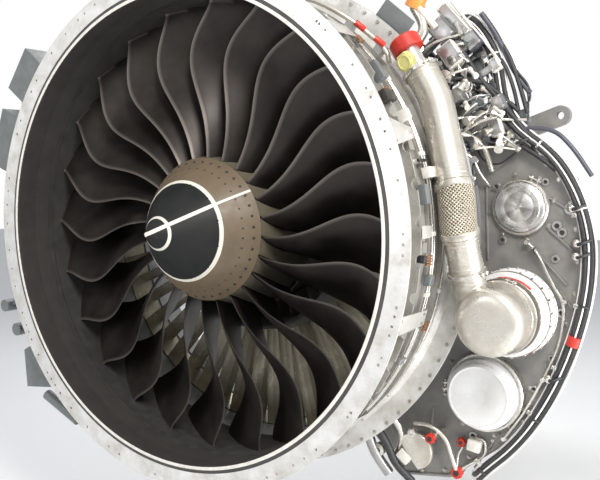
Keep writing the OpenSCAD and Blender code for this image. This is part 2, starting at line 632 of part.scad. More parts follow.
// Low-pressure turbine: five wheels on a drum, the last with its blades
lpt_y = [3560, 4120];
lpt_hub = [400, 430];
lpt_stages = 5;
lpt_wall = 22;
last_wheel = 60;
module lp_turbine() color([0.42, 0.38, 0.35]) union() {
    turned(concat(
        [[lpt_hub[0] - lpt_wall, lpt_y[0]], [lpt_hub[0], lpt_y[0]]],
        stage_points(lpt_y, lpt_hub, turbine_line, lpt_stages - 1),
        [[lpt_hub[1], lpt_y[1]], [lpt_hub[1], lpt_y[1] + last_wheel],
        [lpt_hub[1] - lpt_wall, lpt_y[1] + last_wheel],
         [lpt_hub[1] - lpt_wall, 4010], [shaft_r + 30, 3990], [shaft_r + seat, 3990],
         [shaft_r + seat, 3950],
         [shaft_r + 30, 3950], [lpt_hub[0] - 2, 3930]]
    ));
    around(turbine_blades) vane(lpt_hub[1] - 6, line_r(turbine_line, lpt_y[1]) - blade_clear, 54, 10,
        9, -28,
        lpt_y[1] + last_wheel / 2);
}
module ip_compressor() color([0.55, 0.54, 0.52]) {
    union() {
        drum(ipc_y, ipc_hub, ipc_line, ipc_stages, 20, ip_r - 8, 1560);
        ring(ip_r, ip_r - shaft_t, 1164, 3400);
        for (y = ip_brg_y) shaft_land(ip_r, y);
    }
    for (y = ip_brg_y) inner_bearing(ip_r, y);
}
module high_compressor() color([0.52, 0.5, 0.48]) {
    union() {
        drum(hpc_y, hpc_hub, hpc_line, hpc_stages, 18, high_r - 8, 2250);
        ring(high_r, high_r - shaft_t, 1885, 3183);
        for (y = high_brg_y) shaft_land(high_r, y);
    }
    for (y = high_brg_y) inner_bearing(high_r, y);
}
// Turbine wheels of the two inner shafts
module wheel(bore, hub, y, w) turned([
    [bore, y - w], [bore + 60, y - w], [bore + 70, y - w * 0.4], [hub - 30, y - w * 0.4],
    [hub - 20, y - w * 0.7],
    [hub, y - w * 0.7], [hub, y - w * 0.5], [line_r(turbine_line, y - w * 0.5) - blade_clear, y - w * 0.5],
    [line_r(turbine_line, y + w * 0.5) - blade_clear, y + w * 0.5], [hub, y + w * 0.5], [hub, y + w * 0.7],
    [hub - 20, y + w * 0.7], [hub - 30, y + w * 0.4], [bore + 70, y + w * 0.4], [bore + 60, y + w],
    [bore, y + w]
]);
module high_turbine() color([0.45, 0.42, 0.4]) wheel(high_r + seat, 380, 3080, 34);
module ip_turbine() color([0.45, 0.42, 0.4]) wheel(ip_r + seat, 390, 3340, 34);

// Cases round the rotors: a wall along the line, with a joint flange of its own height at each end
module case_shell(line, y0, y1, t, rims) turned([
    [line_r(line, y0), y0], [line_r(line, y0) + t + rims[0], y0],
    [line_r(line, y0) + t + rims[0], y0 + joint_t], [line_r(line, y0) + t, y0 + joint_t],
    [line_r(line, y1) + t, y1 - joint_t], [line_r(line, y1) + t + rims[1], y1 - joint_t],
    [line_r(line, y1) + t + rims[1], y1], [line_r(line, y1), y1]
]);
module ip_compressor_case() color([0.6, 0.6, 0.6])
    case_shell(ipc_line, inlet_y1 + seat, swan_y0, shell_t, [34, 34]);
module high_compressor_case() color([0.58, 0.57, 0.55])
    case_shell(hpc_line, swan_y1 + seat, burner_y0, shell_t, [34, 76]);

// Burner: outer case with a boss for each fuel nozzle, and the liner in which the fuel burns
nozzle_count = 24;
nozzle_at = 2560;
nozzle_in = 470;
boss_top = 606;
module combustor_case() color([0.55, 0.53, 0.5]) difference() {
    union() {
        turned([
            [430, burner_y0 + seat], [490, burner_y0 + seat], [490, 2492], [560, 2540], [600, 2600],
            [600, 2930],
            [540, 2998], [540, turbine_y0 - seat], [474, turbine_y0 - seat], [474, 2998], [526, 2992],
            [588, 2922],
            [588, 2606], [552, 2552], [484, 2505], [430, 2492]
        ]);
        around(nozzle_count) translate([564, nozzle_at, 0]) rotate([0, 90, 0]) cylinder(r = 26,
            h = boss_top - 564, $fn = 32);
    }
    around(nozzle_count) translate([530, nozzle_at, 0]) rotate([0, 90, 0]) cylinder(r = 9 + seat,
        h = 100, $fn = 24);
}
module combustor_liner() color([0.5, 0.42, 0.35]) difference() {
    turned([
        [380, 2640], [420, 2600], [510, 2600], [545, 2650], [545, 2870], [460, 2990], [456.5, 3006],
        [456.5, 3019.7], [448, 3019.7], [451, 2986], [537, 2866], [537, 2654], [506, 2608],
        [424, 2608], [388, 2644], [388, 3019.7],
        [380, 3019.7]
    ]);
    around(nozzle_count) translate([nozzle_in, 2590, 0]) rotate([-90, 0, 0]) cylinder(r = 15 + seat,
        h = 30, $fn = 24);
}
module fuel_nozzles() color([0.62, 0.6, 0.56]) around(nozzle_count) union() {
    translate([nozzle_in, nozzle_at, 0]) rotate([0, 90, 0]) cylinder(r = 9,
        h = boss_top + 30 - nozzle_in, $fn = 24);
    translate([nozzle_in, nozzle_at - 14, 0]) rotate([-90, 0, 0]) cylinder(r = 15, h = 66, $fn = 24);
    translate([boss_top + seat, nozzle_at, 0]) rotate([0, 90, 0]) cylinder(r = 24, h = 9, $fn = 32);
}
module turbine_case() color([0.5, 0.46, 0.42])
    case_shell(turbine_line, turbine_y0, turbine_y1 - seat, joint_t, [70, 34]);
// Fixed vanes in front of the turbine wheels; the middle row carries the hub of two bearings
vane_rows = [[3020, 380], [3200, 390], [3450, 400]];
row_w = 26;
module turbine_guide_vanes() color([0.55, 0.5, 0.45]) {
    for (g = vane_rows) union() {
        turned([[line_r(turbine_line, g[0]) - seat, g[0]],
            [line_r(turbine_line, g[0] + row_w) - seat, g[0] + row_w],
            [line_r(turbine_line, g[0]) - 6, g[0] + row_w], [line_r(turbine_line, g[0]) - 6, g[0]]]);
        ring(g[1] + 6, g[1], g[0], g[0] + row_w);
        around(24) vane(g[1] + 3, line_r(turbine_line, g[0]) - 3, 24, 3, 4, 12, g[0] + row_w / 2);
        if (g == vane_rows[1]) turned([[g[1] + 3, 3200], [g[1] + 3, 3214], [high_bore + hub_t, 3214],
            [ip_bore + hub_t, 3250], [ip_bore, 3250], [ip_bore, 3192], [high_bore, 3184], [high_bore, 3130],
            [high_bore + hub_t, 3130], [high_bore + hub_t, 3200]]);
    }
}
// Rear frame: struts between the shaft's rear bearing and the exhaust
frame_line = [turbine_line[1], turbine_line[1], turbine_y1, outlet_y];
rear_mount_r = turbine_line[1] + joint_t + 34;
module exhaust_frame() color([0.5, 0.47, 0.43]) union() {
    case_shell(frame_line, turbine_y1, outlet_y, joint_t, [34, 34]);
    ring(408, 396, turbine_y1 + 9, outlet_y);
    turned([[lp_bore, 4300], [lp_bore + 18, 4300], [398, 4380], [398, 4400], [lp_bore + 18, 4365],
        [lp_bore, 4360]]);
    around(13) vane(402, turbine_line[1] + 5, 120, 6, 20, 4, 4330);
}
module exhaust_nozzle() color([0.45, 0.42, 0.38]) turned([
    [frame_line[0], outlet_y + seat], [rear_mount_r, outlet_y + seat], [rear_mount_r, outlet_y + joint_t],
    [frame_line[0] + 12, outlet_y + joint_t], [nozzle_r + 6, nozzle_y], [nozzle_r, nozzle_y],
    [frame_line[0], outlet_y + 20]
]);
module tail_cone() color([0.4, 0.38, 0.35]) turned([
    [380, outlet_y + seat], [408, outlet_y + seat], [400, 4540], [330, 4700], [180, 4900],
    [60, tail_y - 40],
    [0, tail_y], [0, tail_y - 20], [52, tail_y - 62], [172, 4892], [320, 4694], [390, 4536],
    [390, 4452], [380, 4452]
]);

// ENGINE MOUNTS

mount_w = 420;
mount_top = rear_flange_r + 60;
mount_y = [1330, 1440];
module front_mount() color([0.5, 0.5, 0.52]) difference() {
    translate([-mount_w / 2, mount_y[0], rear_r - 90]) cube([mount_w, mount_y[1] - mount_y[0],
        mount_top - rear_r + 90]);
    along_shaft(mount_y[0] - 1) cylinder(r = rear_r + seat, h = mount_y[1] - mount_y[0] + 2, $fn = 192);
    for (x = [-150, 150], y = [30, 80]) translate([x, mount_y[0] + y, rear_r + 20]) cylinder(r = 16,
        h = 200, $fn = 32);
}
module rear_mount() color([0.5, 0.5, 0.52]) difference() {
    translate([-120, 4250, 600]) cube([240, 150, 190]);
    along_shaft(4200) cylinder(r = turbine_line[1] + joint_t + seat, h = 400, $fn = 128);
    for (x = [-70, 70]) translate([x - 20, 4240, 740]) cube([40, 200, 60]);
    translate([-150, 4325, 765]) rotate([0, 90, 0]) cylinder(r = 14, h = 300, $fn = 32);
}

// GEARBOX SIDE

gbx_in = rear_flange_r + 40;
pad_off = 284;
function pad(off, a) = polar(gbx_in + off, a, 0);
upper_pad = pad(pad_off - 26, upper_pad_a);
lower_pad = pad(pad_off + 58, lower_pad_a);
starter_at = pad(pad_off + 32, starter_a);
// Outline of the casting by [angle, height above the inner edge]
gearbox_rim = [
    [20, 0], [20, 260], [15, 430], [9, 560], [1, 640], [-8, 670], [-19, 650], [-30, 650], [-38, 620],
    [-49, 560], [-57, 400], [-60, 0]
];
function rim_point(p) = let (q = polar(gbx_in + p[1], p[0], 0)) [q[0], -q[2]];
gearbox_y1 = gearbox_y + gearbox_depth;
pad_h = 16;
module gearbox_housing() color([0.33, 0.33, 0.32]) difference() {
    union() {
        along_shaft(gearbox_y) linear_extrude(height = gearbox_depth) polygon(concat(
            [for (p = gearbox_rim) rim_point(p)],
            [for (a = [-55:10:15]) rim_point([a, -20])]
        ));
        boss(upper_pad, upper_pad_r + 22, gearbox_y - pad_h, gearbox_y + 10);
        boss(lower_pad, lower_pad_r + 16, gearbox_y - pad_h, gearbox_y + 10);
        boss(starter_at, starter_r - 40, gearbox_y - pad_h, gearbox_y + 10);
    }
    along_shaft(gearbox_y - 1) cylinder(r = gbx_in, h = gearbox_depth + 2, $fn = 192);
    boss(upper_pad, upper_pad_r - 30, gearbox_y - 30, gearbox_y + 60);
    boss(lower_pad, lower_pad_r - 40, gearbox_y - 30, gearbox_y + 80);
}
// Plates that carry the casting on the rear fan case
link_angles = [12, -20, -48];
module gearbox_links() color([0.6, 0.6, 0.6]) difference() {
    for (a = link_angles) rotate([0, -a, 0]) translate([rear_r - 20, 1130, -35])
        cube([gbx_in - rear_r + 40, 60, 70]);
    along_shaft(1100) cylinder(r = rear_r + seat, h = 200, $fn = 192);
    along_shaft(1100) difference() {
        cylinder(r = gbx_in + 60, h = 200, $fn = 96);
        translate([0, 0, -1]) cylinder(r = gbx_in - seat, h = 202, $fn = 192);
    }
}
// Body of revolution about an axis parallel to the shaft through a point in the cross plane
module boss_turned(centre, y, points) along_shaft() translate([centre[0], -centre[2], y])
    rotate_extrude($fn = 96) polygon(points);
module upper_pad_cover() color([0.8, 0.8, 0.8]) boss_turned(upper_pad, gearbox_y - pad_h, [
    [0, -30], [upper_pad_r - 26, -34], [upper_pad_r - 6, -24], [upper_pad_r, -12],
    [upper_pad_r, -seat], [0, -seat]
]);
module lower_pad_cover() color([0.92, 0.92, 0.92]) boss_turned(lower_pad, gearbox_y - pad_h, [
    [0, -lower_pad_len], [lower_pad_r - 46, -lower_pad_len], [lower_pad_r - 30, 12 - lower_pad_len],
    [lower_pad_r - 30, 40 - lower_pad_len], [lower_pad_r - 12, 60 - lower_pad_len],
    [lower_pad_r - 12, -30],
    [lower_pad_r, -22], [lower_pad_r, -seat], [0, -seat]
]);
// Split clamp rings round both covers, each closed by a lug with its screw
module clamp_ring(centre, r, h) {
    boss_turned(centre, gearbox_y - pad_h, [
        [r + seat, -h], [r + 12, -h], [r + 16, 6 - h], [r + 16, -seat], [r + seat, -seat]
    ]);
}
module pad_clamp_rings() color([0.74, 0.74, 0.72]) {
    clamp_ring(upper_pad, upper_pad_r, 14);
    clamp_ring(lower_pad, lower_pad_r, 40);
}
// Starter: flanged barrel with cooling rings, its front flange dished where the elbow's bend passes
band_y = elbow_y + 225;
module air_starter() color([0.9, 0.9, 0.9]) difference() {
    boss_turned(starter_at, 0, [
        [0, band_y], [elbow_r - 8, band_y], [elbow_r, band_y + 10], [elbow_r, band_y + 40],
        [elbow_r + 20, band_y + 60],
        [elbow_r + 24, band_y + 130], [starter_r - 10, band_y + 146], [starter_r - 10, band_y + 240],
        [starter_r, band_y + 250], [starter_r, band_y + 272], [starter_r - 30, band_y + 290],
        [starter_r - 60, gearbox_y - 60], [starter_r - 50, gearbox_y - 40],
        [starter_r - 50, gearbox_y - pad_h - seat],
        [0, gearbox_y - pad_h - seat]
    ]);
    pipe_run([neck_in, duct_low - bend_run * low_dir, duct_low], duct_r + 2);
}
// Route of the air duct from the elbow up to its open end: elbow, braid, bend, clamp and blank
duct_y = elbow_y + duct_r + 14;
duct_low = starter_at + [-150, duct_y, 264];
duct_mid0 = duct_low + [-24, -50, 203];
duct_mid1 = duct_mid0 + [-42, -11, 301];
duct_bend = duct_mid1 + [-156, 105, 486];
top_dir = unit([-103, 7.5, 162]);
low_dir = unit(duct_mid0 - duct_low);
up_dir = unit(duct_bend - duct_mid1);
duct_top = duct_bend + 186 * top_dir;
neck_in = starter_at + [-80, duct_y, 30];
// Tubes of radius r along points, with round bends that swell a little
bend_swell = 0.6;
bend_run = duct_r + 18;
module pipe_run(points, r, fn = 48) {
    for (i = [0:len(points) - 2]) rod(points[i], points[i + 1], r, fn);
    for (i = [1:1:len(points) - 2]) translate(points[i]) sphere(r = r + bend_swell, $fn = fn);
}
function past(a, b, d) = b + d * unit(b - a);
elbow_len = 224.7;
module duct_elbow() color([0.80, 0.77, 0.70]) difference() {
    union() {
        boss_turned(starter_at, elbow_y, [
            [0, 0], [elbow_r - 70, 2], [elbow_r - 34, 12], [elbow_r - 12, 34], [elbow_r, 70],
            [elbow_r, 200],
            [elbow_r + 10, 212], [elbow_r + 10, elbow_len], [0, elbow_len]
        ]);
        pipe_run([neck_in, duct_low - bend_run * low_dir, duct_low], duct_r);
        rod(duct_low - 16 * low_dir, duct_low, duct_r + 8);
    }
    boss_turned(starter_at, elbow_y, [
        [0, duct_wall], [elbow_r - 72, 2 + duct_wall], [elbow_r - 38, 16], [elbow_r - 17, 38],
        [elbow_r - duct_wall, 72], [elbow_r - duct_wall, 230], [0, 230]
    ]);
    pipe_run([neck_in, duct_low - bend_run * low_dir, duct_low + low_dir], duct_r - duct_wall);
}
// Length of duct along points, with a raised collar at each end
collar_w = 14;
module duct(points, collar) difference() {
    n = len(points) - 1;
    union() {
        pipe_run(points, duct_r);
        rod(points[0], past(points[0], points[1], collar_w) - points[1] + points[0], duct_r + collar);
        rod(past(points[n - 1], points[n], -collar_w), points[n], duct_r + collar);
    }
    pipe_run(concat([past(points[1], points[0], 1)], n > 1 ? [points[1]] : [], [past(points[n - 1],
        points[n], 1)]),
        duct_r - duct_wall);
}
module lower_air_duct() color([0.82, 0.80, 0.75])
    duct([duct_low + seat * low_dir, duct_mid0 - seat * low_dir], 7);
module upper_air_duct() color([0.85, 0.84, 0.80])
    duct([duct_mid1 + seat * up_dir, duct_bend, duct_top], 9);
braid_t = 14;
module braided_joint() color([0.66, 0.63, 0.55]) difference() {
    pipe_run([duct_mid0, duct_mid0 + bend_run * low_dir, duct_mid1 - bend_run * up_dir, duct_mid1],
        duct_r + braid_t);
    pipe_run([duct_mid0 - low_dir, duct_mid0 + bend_run * low_dir, duct_mid1 - bend_run * up_dir,
        duct_mid1 + up_dir],
        duct_r - duct_wall);
}
// Adapter above the duct, narrowing to a neck with two threaded ends
spout_r = 58;
adapter_base = duct_top + seat * top_dir;
plug_at = adapter_base + 84 * top_dir;
side_dir = unit([-0.62, -0.62, 0.0]);
module duct_adapter() color([0.8, 0.8, 0.78]) difference() {
    union() {
        rod(adapter_base, adapter_base + collar_w * top_dir, duct_r + 9);
        rod(adapter_base, adapter_base + 24 * top_dir, duct_r);
        rod(adapter_base, adapter_base + 160 * top_dir, spout_r);
        rod(plug_at, plug_at + (spout_r + 16) * side_dir, 30);
    }
    rod(adapter_base - top_dir, adapter_base + 18 * top_dir, duct_r - duct_wall);
    rod(adapter_base, adapter_base + 161 * top_dir, spout_r - duct_wall);
    rod(plug_at, plug_at + (spout_r + 17) * side_dir, 24);
}
// Band clamps: at the elbow's inlet, at the drum and at the top of the duct
module band(a, b, r_in, r_out) difference() {
    d = unit(b - a);
    rod(a, b, r_out);
    rod(a - d, b + d, r_in);
}
module duct_band_clamps() color([0.74, 0.73, 0.70]) {
    band(duct_low - 13 * low_dir, duct_low + 13 * low_dir, duct_r + 8 + seat, duct_r + 17);
    difference() {
        band([starter_at[0], band_y - 11, starter_at[2]], [starter_at[0], band_y + 9, starter_at[2]],
            elbow_r + 10 + seat, elbow_r + 22);
        pipe_run([neck_in, duct_low - bend_run * low_dir, duct_low], duct_r + 1);
    }
    band(duct_top - 13 * top_dir, duct_top + 13 * top_dir, duct_r + 9 + seat, duct_r + 19);
}

// Valve under the gearbox, and the coloured caps and plug that close open ends
valve_at = polar(mid_flange_r + 214, -48.8, 0);
valve_r = 118;
module bleed_valve() color([0.72, 0.70, 0.62]) boss_turned(valve_at, 0, [
    [0, 905], [valve_r - 10, 905], [valve_r, 915], [valve_r, 940], [valve_r - 26, 950],
    [valve_r - 26, 1060], [70, 1070], [70, gearbox_y - seat],
    [0, gearbox_y - seat]
]);
cap_base = adapter_base + (160 + seat) * top_dir;
module blanking_caps() color([0.72, 0.10, 0.10]) {
    rod(cap_base, cap_base + 62 * top_dir, 72);
    color([0.85, 0.78, 0.35]) rod(plug_at + (spout_r + 16 + seat) * side_dir, plug_at + (spout_r + 44)
        * side_dir, 33, 24);
    boss(valve_at + [120, 0, 114], 26, 860, gearbox_y - seat);
    boss(valve_at + [255, 0, 63], 26, 1040, gearbox_y - seat);
    boss(valve_at + [245, 0, -126], 34, 1000, gearbox_y - seat);
}

// Pipes that run round the fan case: radius above the case, place, and the two end angles
pipe_r = 9;
pipe_h = 18;
pipe_lines = [[450, -70, 62], [480, -66, 58], [640, -40, 24]];
module arc_pipe(r, y, a0, a1, pr) along_shaft(y) rotate([0, 0, -a1])
    rotate_extrude(angle = a1 - a0, $fn = round_fn) translate([r, 0]) circle(r = pr, $fn = 24);
module case_pipes() color([0.8, 0.8, 0.78]) for (p = pipe_lines) union() {
    arc_pipe(case_r + pipe_h, p[0], p[1], p[2], pipe_r);
    for (a = [p[1], p[2]]) rotate([0, -a, 0]) translate([case_r + pipe_h, p[0], 0]) {
        translate([1 - pipe_h, 0, 0]) rotate([0, 90, 0])
            cylinder(r = pipe_r + 4, h = pipe_h + pipe_r + 3, $fn = 24);
    }
}
// Clips that hold the pipes, and brackets between the scalloped flange and the duct
clip_angles = [52, 36, 18, 1, -12, -28, -46, -60];
short_clips = [18, 1, -12, -28];
bracket_angles = [42, 20, -2, -18, -34];
module on_case(a, r0, r1, y, d, w) rotate([0, -a, 0]) translate([r0, y, -w / 2]) cube([r1 - r0, d, w]);
module case_brackets() color([0.85, 0.84, 0.80]) difference() {
    for (a = bracket_angles) on_case(a, case_r - 10, case_r + 30, 300, 60, 80);
    along_shaft(290) cylinder(r = case_r + seat, h = 400, $fn = 192);
}
module pipe_clips() color([0.9, 0.9, 0.88]) difference() {
    union() {
        for (a = clip_angles) on_case(a, case_r - 10, case_r + pipe_h + 12, 434, 62, 24);
        for (a = short_clips) on_case(a, case_r - 10, case_r + pipe_h + 12, 624, 32, 24);
    }
    along_shaft(290) cylinder(r = case_r + seat, h = 400, $fn = 192);
    for (p = pipe_lines) arc_pipe(case_r + pipe_h, p[0], p[1] - 1, p[2] + 1, pipe_r + seat);
}
// Thin drain tube down the gearbox's front, with feet that hold it
drain_y = gearbox_y - 34;
drain_route = [for (p = [[300, -1.5], [365, -2.9], [495, -8.7], [570, -10.5], [612, -16.6], [600, -23.7],
    [606, -29.7], [600, -36]]) polar(gbx_in + p[0], p[1], drain_y)];
module drain_tube() color([0.85, 0.85, 0.82]) union() {
    swept(drain_route, 10);
    for (i = [0, 3, 5, 7]) boss(drain_route[i], 13, drain_y, gearbox_y - seat);
}
// Wiring harness round the gearbox's rim, with arms that hold it
harness_y = gearbox_y - 45;
harness_r = 22;
harness_route = [for (p = [[426, 40.6], [412, 32.5], [315, 24.3], [335, 19.3], [495, 13.6], [580, 8.5],
    [640, 3.2],
    [680, -2.6], [700, -10.6], [690, -20.9], [690, -29.4], [680, -36], [640, -42.2]])
    polar(gbx_in + p[0], p[1], harness_y)];
arm_len = 70;
harness_arms = [[13.6, 495], [3.2, 640], [-10.6, 700], [-20.9, 690], [-29.4, 690], [-42.2, 640]];
module wiring_harness() color([0.1, 0.1, 0.11]) union() {
    swept(harness_route, harness_r);
    for (h = harness_arms) {
        on_case(h[0], gbx_in + h[1] - arm_len, gbx_in + h[1], harness_y - 8, 16, 24);
        on_case(h[0], gbx_in + h[1] - arm_len, gbx_in + h[1] - arm_len + 24, harness_y,
            gearbox_y - seat - harness_y, 24);
    }
}

// Grey control boxes on the left of the case, on four legs each
box_r = front_flange_r + 10;
module case_box(a, y, w, d, h) {
    on_case(a, box_r, box_r + h, y, d, w);
    for (s = [-1, 1], q = [y + 30, y + d - 50]) rotate([0, -a, 0]) translate([case_r - 20, q,
        s * (w / 2 - 50) - 15])
        cube([box_r - case_r + 21, 20, 30]);
}
module control_boxes() color([0.5, 0.52, 0.53]) difference() {
    union() {
        case_box(143.5, 60, 330, 260, 240);
        case_box(160, 60, 420, 260, 230);
    }
    along_shaft(50) cylinder(r = case_r + seat, h = 300, $fn = 192);
}

// Lug on the back of the gearbox's upper corner
lug_a = 19.7;
lug_eye = 540;
module lug_bracket() color([0.36, 0.38, 0.38]) difference() {
    union() {
        on_case(lug_a, gbx_in + 120, gbx_in + lug_eye, gearbox_y1 + seat, 50, 120);
        rotate([0, -lug_a, 0]) translate([gbx_in + lug_eye, gearbox_y1 + seat, 0]) rotate([-90, 0, 0])
            cylinder(r = 60, h = 50, $fn = 64);
    }
    rotate([0, -lug_a, 0]) translate([gbx_in + lug_eye, gearbox_y1, 0]) rotate([-90, 0, 0])
        cylinder(r = 24, h = 90, $fn = 32);
}

// Fittings on the left, behind the front flange: filter, cone, plate, wrapped bundle, connectors
left_y = 60;
module post(a, r0, r1, w = 24) on_case(a, r0, r1, left_y + 20, 24, w);
module side_fittings() color([0.4, 0.4, 0.4]) difference() {
    union() {
        boss(polar(1800, 200, 0), 44, left_y - 20, left_y + 110);
        post(200, case_r - 10, 1780);
        boss(polar(1775, 206.3, 0), 46, left_y, left_y + 80);
        post(206.3, case_r - 10, 1760);
        along_shaft(left_y + 20) linear_extrude(height = 12) polygon([for (p = [[1510, 212], [1794, 211.4],
            [1930, 218.7], [1685, 224], [1510, 222]]) let (q = polar(p[0], p[1], 0)) [q[0], -q[2]]]);
        rod(polar(1800, 223.5, left_y + 36), polar(1692, 234.5, left_y + 36), 38);
        post(227, case_r - 10, 1745);
        post(232, case_r - 10, 1710);
        for (a = [237, 239.5]) rotate([0, -a, 0]) translate([case_r - 10, left_y + 32, 0]) rotate([0,
            90, 0])
            cylinder(r = 17, h = 150, $fn = 32);
        post(243.6, case_r - 10, 1650, 30);
    }
    along_shaft(30) cylinder(r = case_r + seat, h = 300, $fn = 192);
}
// Boxes, a cap and small fittings at the upper right, on posts
module top_box(a, r, y, h, d, w) {
    on_case(a, r, r + h, y, d, w);
    on_case(a, rear_r - 10, r + 1, y + d / 2 - 12, 24, 40);
}
module top_fittings() color([0.6, 0.6, 0.6]) difference() {
    union() {
        top_box(44.4, 1750, 1120, 110, 120, 150);
        top_box(40.4, 1810, 1200, 110, 110, 130);
        top_box(38, 1700, 1010, 90, 90, 110);
        for (a = [55, 45.4]) on_case(a, case_r - 10, case_r + 70, 640, 50, 60);
    }
    along_shaft(600) cylinder(r = case_r + seat, h = 200, $fn = 192);
    along_shaft(900) cylinder(r = rear_r + seat, h = 560, $fn = 192);
}
fan_case();
front_barrel_panel();
fan_track_lining();
rear_fan_case();
flange_bolts();
outlet_guide_vanes();
intermediate_case();
splitter_nose();
core_inlet_vanes();
core_fairing();
front_bearing_housing();
bearing_outer_rings();
ip_compressor_case();
high_compressor_case();
combustor_case();
combustor_liner();
fuel_nozzles();
turbine_case();
turbine_guide_vanes();
exhaust_frame();
exhaust_nozzle();
tail_cone();
front_mount();
rear_mount();
gearbox_housing();
gearbox_links();
upper_pad_cover();
lower_pad_cover();
pad_clamp_rings();
air_starter();
duct_elbow();
lower_air_duct();
braided_joint();
upper_air_duct();
duct_adapter();
duct_band_clamps();
blanking_caps();
bleed_valve();
case_pipes();
case_brackets();
pipe_clips();
drain_tube();
wiring_harness();
control_boxes();
lug_bracket();
side_fittings();
top_fittings();
spinner_cone();
spinner_fairing();
rotor_screws();
fan_disc();
fan_blades();
annulus_fillers();
fan_shaft();
shaft_bearings();
lp_turbine();
ip_compressor();
ip_turbine();
high_compressor();
high_turbine();
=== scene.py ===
# %% [markdown]
# # A large turbofan, dressed
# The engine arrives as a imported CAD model: every casing, shaft and bracket is already in its real
# place and size. This lesson gives it its looks. Surfaces that the eye lands on, such as the fan
# blades, the ducts and the covers, are modelled again with finer forms, and every other piece gets
# a finish with colour, gloss and fine relief. Units are metres, the shaft runs along +Y and the
# intake faces -Y.

# %% Load the frame
import math
import random
import bpy
import bmesh
from mathutils import Matrix, Vector


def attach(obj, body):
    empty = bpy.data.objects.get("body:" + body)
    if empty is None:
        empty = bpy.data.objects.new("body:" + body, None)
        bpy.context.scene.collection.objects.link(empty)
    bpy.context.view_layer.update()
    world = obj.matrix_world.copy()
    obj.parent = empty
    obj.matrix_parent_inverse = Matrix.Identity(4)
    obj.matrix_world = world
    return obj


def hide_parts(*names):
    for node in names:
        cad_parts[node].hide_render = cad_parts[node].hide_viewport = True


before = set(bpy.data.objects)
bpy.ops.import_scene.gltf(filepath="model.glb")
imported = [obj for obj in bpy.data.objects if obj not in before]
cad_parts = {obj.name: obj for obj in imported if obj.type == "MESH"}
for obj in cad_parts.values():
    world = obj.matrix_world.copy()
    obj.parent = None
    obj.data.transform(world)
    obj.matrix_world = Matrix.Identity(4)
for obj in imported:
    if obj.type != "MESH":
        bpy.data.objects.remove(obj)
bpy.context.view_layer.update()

# %% [markdown]
# ## Camera
# The view is from the right of the intake, a little above the shaft's height. The matrix below
# came from fitting circles of the real engine to the picture.

# %% Camera
camera = bpy.data.objects.new("camera", bpy.data.cameras.new("camera"))
bpy.context.collection.objects.link(camera)
camera.matrix_world = Matrix((
    (0.8384, -0.0456, 0.5431, 3.3475),
    (0.5451, 0.0701, -0.8355, -3.6892),
    (0.0, 0.9965, 0.0836, 0.3658),
    (0, 0, 0, 1)))
camera.data.sensor_width = 36
camera.data.lens = 48
camera.data.clip_end = 200
bpy.context.scene.camera = camera
bpy.context.scene.view_settings.view_transform = "Standard"
print("camera at", [round(v, 2) for v in camera.location])

# %% [markdown]
# ## Nodes in few words
# Every finish, and the light around the engine, is drawn with nodes. Wiring each one by hand takes
# many lines, so a few short functions do it: one adds a node with its values, the others do sums
# over the surface, lay a colour over a finish and raise its relief.

# %% Node helpers
def add(tree, kind, *feeds, **settings):
    """A new node. feeds: (input, value or socket) pairs; settings: the node's own properties."""
    node = tree.nodes.new("ShaderNode" + kind)
    for key, value in settings.items():
        setattr(node, key, value)
    for name, value in feeds:
        if isinstance(value, bpy.types.NodeSocket):
            tree.links.new(value, node.inputs[name])
        else:
            node.inputs[name].default_value = value
    return node


def op(tree, kind, *values):
    """A math node over sockets or numbers; returns its output."""
    return add(tree, "Math", *enumerate(values), operation=kind).outputs[0]


def fade(tree, value, start, end):
    """One up to start, zero from end on."""
    return add(tree, "MapRange", ("Value", value), ("From Min", start), ("From Max", end), ("To Min", 1),
               ("To Max", 0)).outputs[0]


def band(tree, value, centre, half, soft):
    """One inside centre ± half, zero outside, with a soft edge."""
    return fade(tree, op(tree, "ABSOLUTE", op(tree, "SUBTRACT", value, centre)), half, half + soft)


def weighed(tree, x, z, u, v):
    """x times u plus z times v."""
    return op(tree, "ADD", op(tree, "MULTIPLY", x, u), op(tree, "MULTIPLY", z, v))


def axes(tree):
    """The Object coordinates X, Y and Z in a material."""
    place = add(tree, "TexCoord")
    return add(tree, "SeparateXYZ", (0, place.outputs["Object"])).outputs


def repaint(tree, mask, colour, kind="MIX"):
    """Lay a colour over a finish, or multiply it in, where the mask is one."""
    mix = add(tree, "Mix", ("Factor", mask), (6, tree.nodes["patches"].outputs["Colour"]), (7, (*colour, 1)),
              data_type="RGBA", blend_type=kind)
    tree.links.new(mix.outputs[2], tree.nodes["Principled BSDF"].inputs["Base Color"])


def relief_from(tree, height, strength, distance):
    """Raise the surface of a material by a height socket."""
    bump = add(tree, "Bump", ("Strength", strength), ("Distance", distance), ("Height", height))
    tree.links.new(bump.outputs["Normal"], tree.nodes["Principled BSDF"].inputs["Normal"])


print("node helpers ready")

# %% [markdown]
# ## Floor, background and lamps
# The engine is shown in a plain white surround, as in a studio. The world is white
# only to the camera and to reflections, and a moderate grey to everything it lights. Three large
# soft lamps do the rest: a key from the upper right, a fill in front of the intake and a low one
# from the left.

# %% World
world = bpy.data.worlds.new("surround")
bpy.context.scene.world = world
world.use_nodes = True
sky = world.node_tree
sky.nodes.clear()
rays = add(sky, "LightPath").outputs
seen = op(sky, "MAXIMUM", rays["Is Camera Ray"],
          op(sky, "MAXIMUM", rays["Is Glossy Ray"], rays["Is Transmission Ray"]))
dim = add(sky, "Background", ("Color", (0.92, 0.95, 1.0, 1)), ("Strength", 0.45))
bright = add(sky, "Background", ("Color", (1, 1, 1, 1)), ("Strength", 1.0))
mix = add(sky, "MixShader", (0, seen), (1, dim.outputs[0]), (2, bright.outputs[0]))
add(sky, "OutputWorld", ("Surface", mix.outputs[0]))
print("world ready")


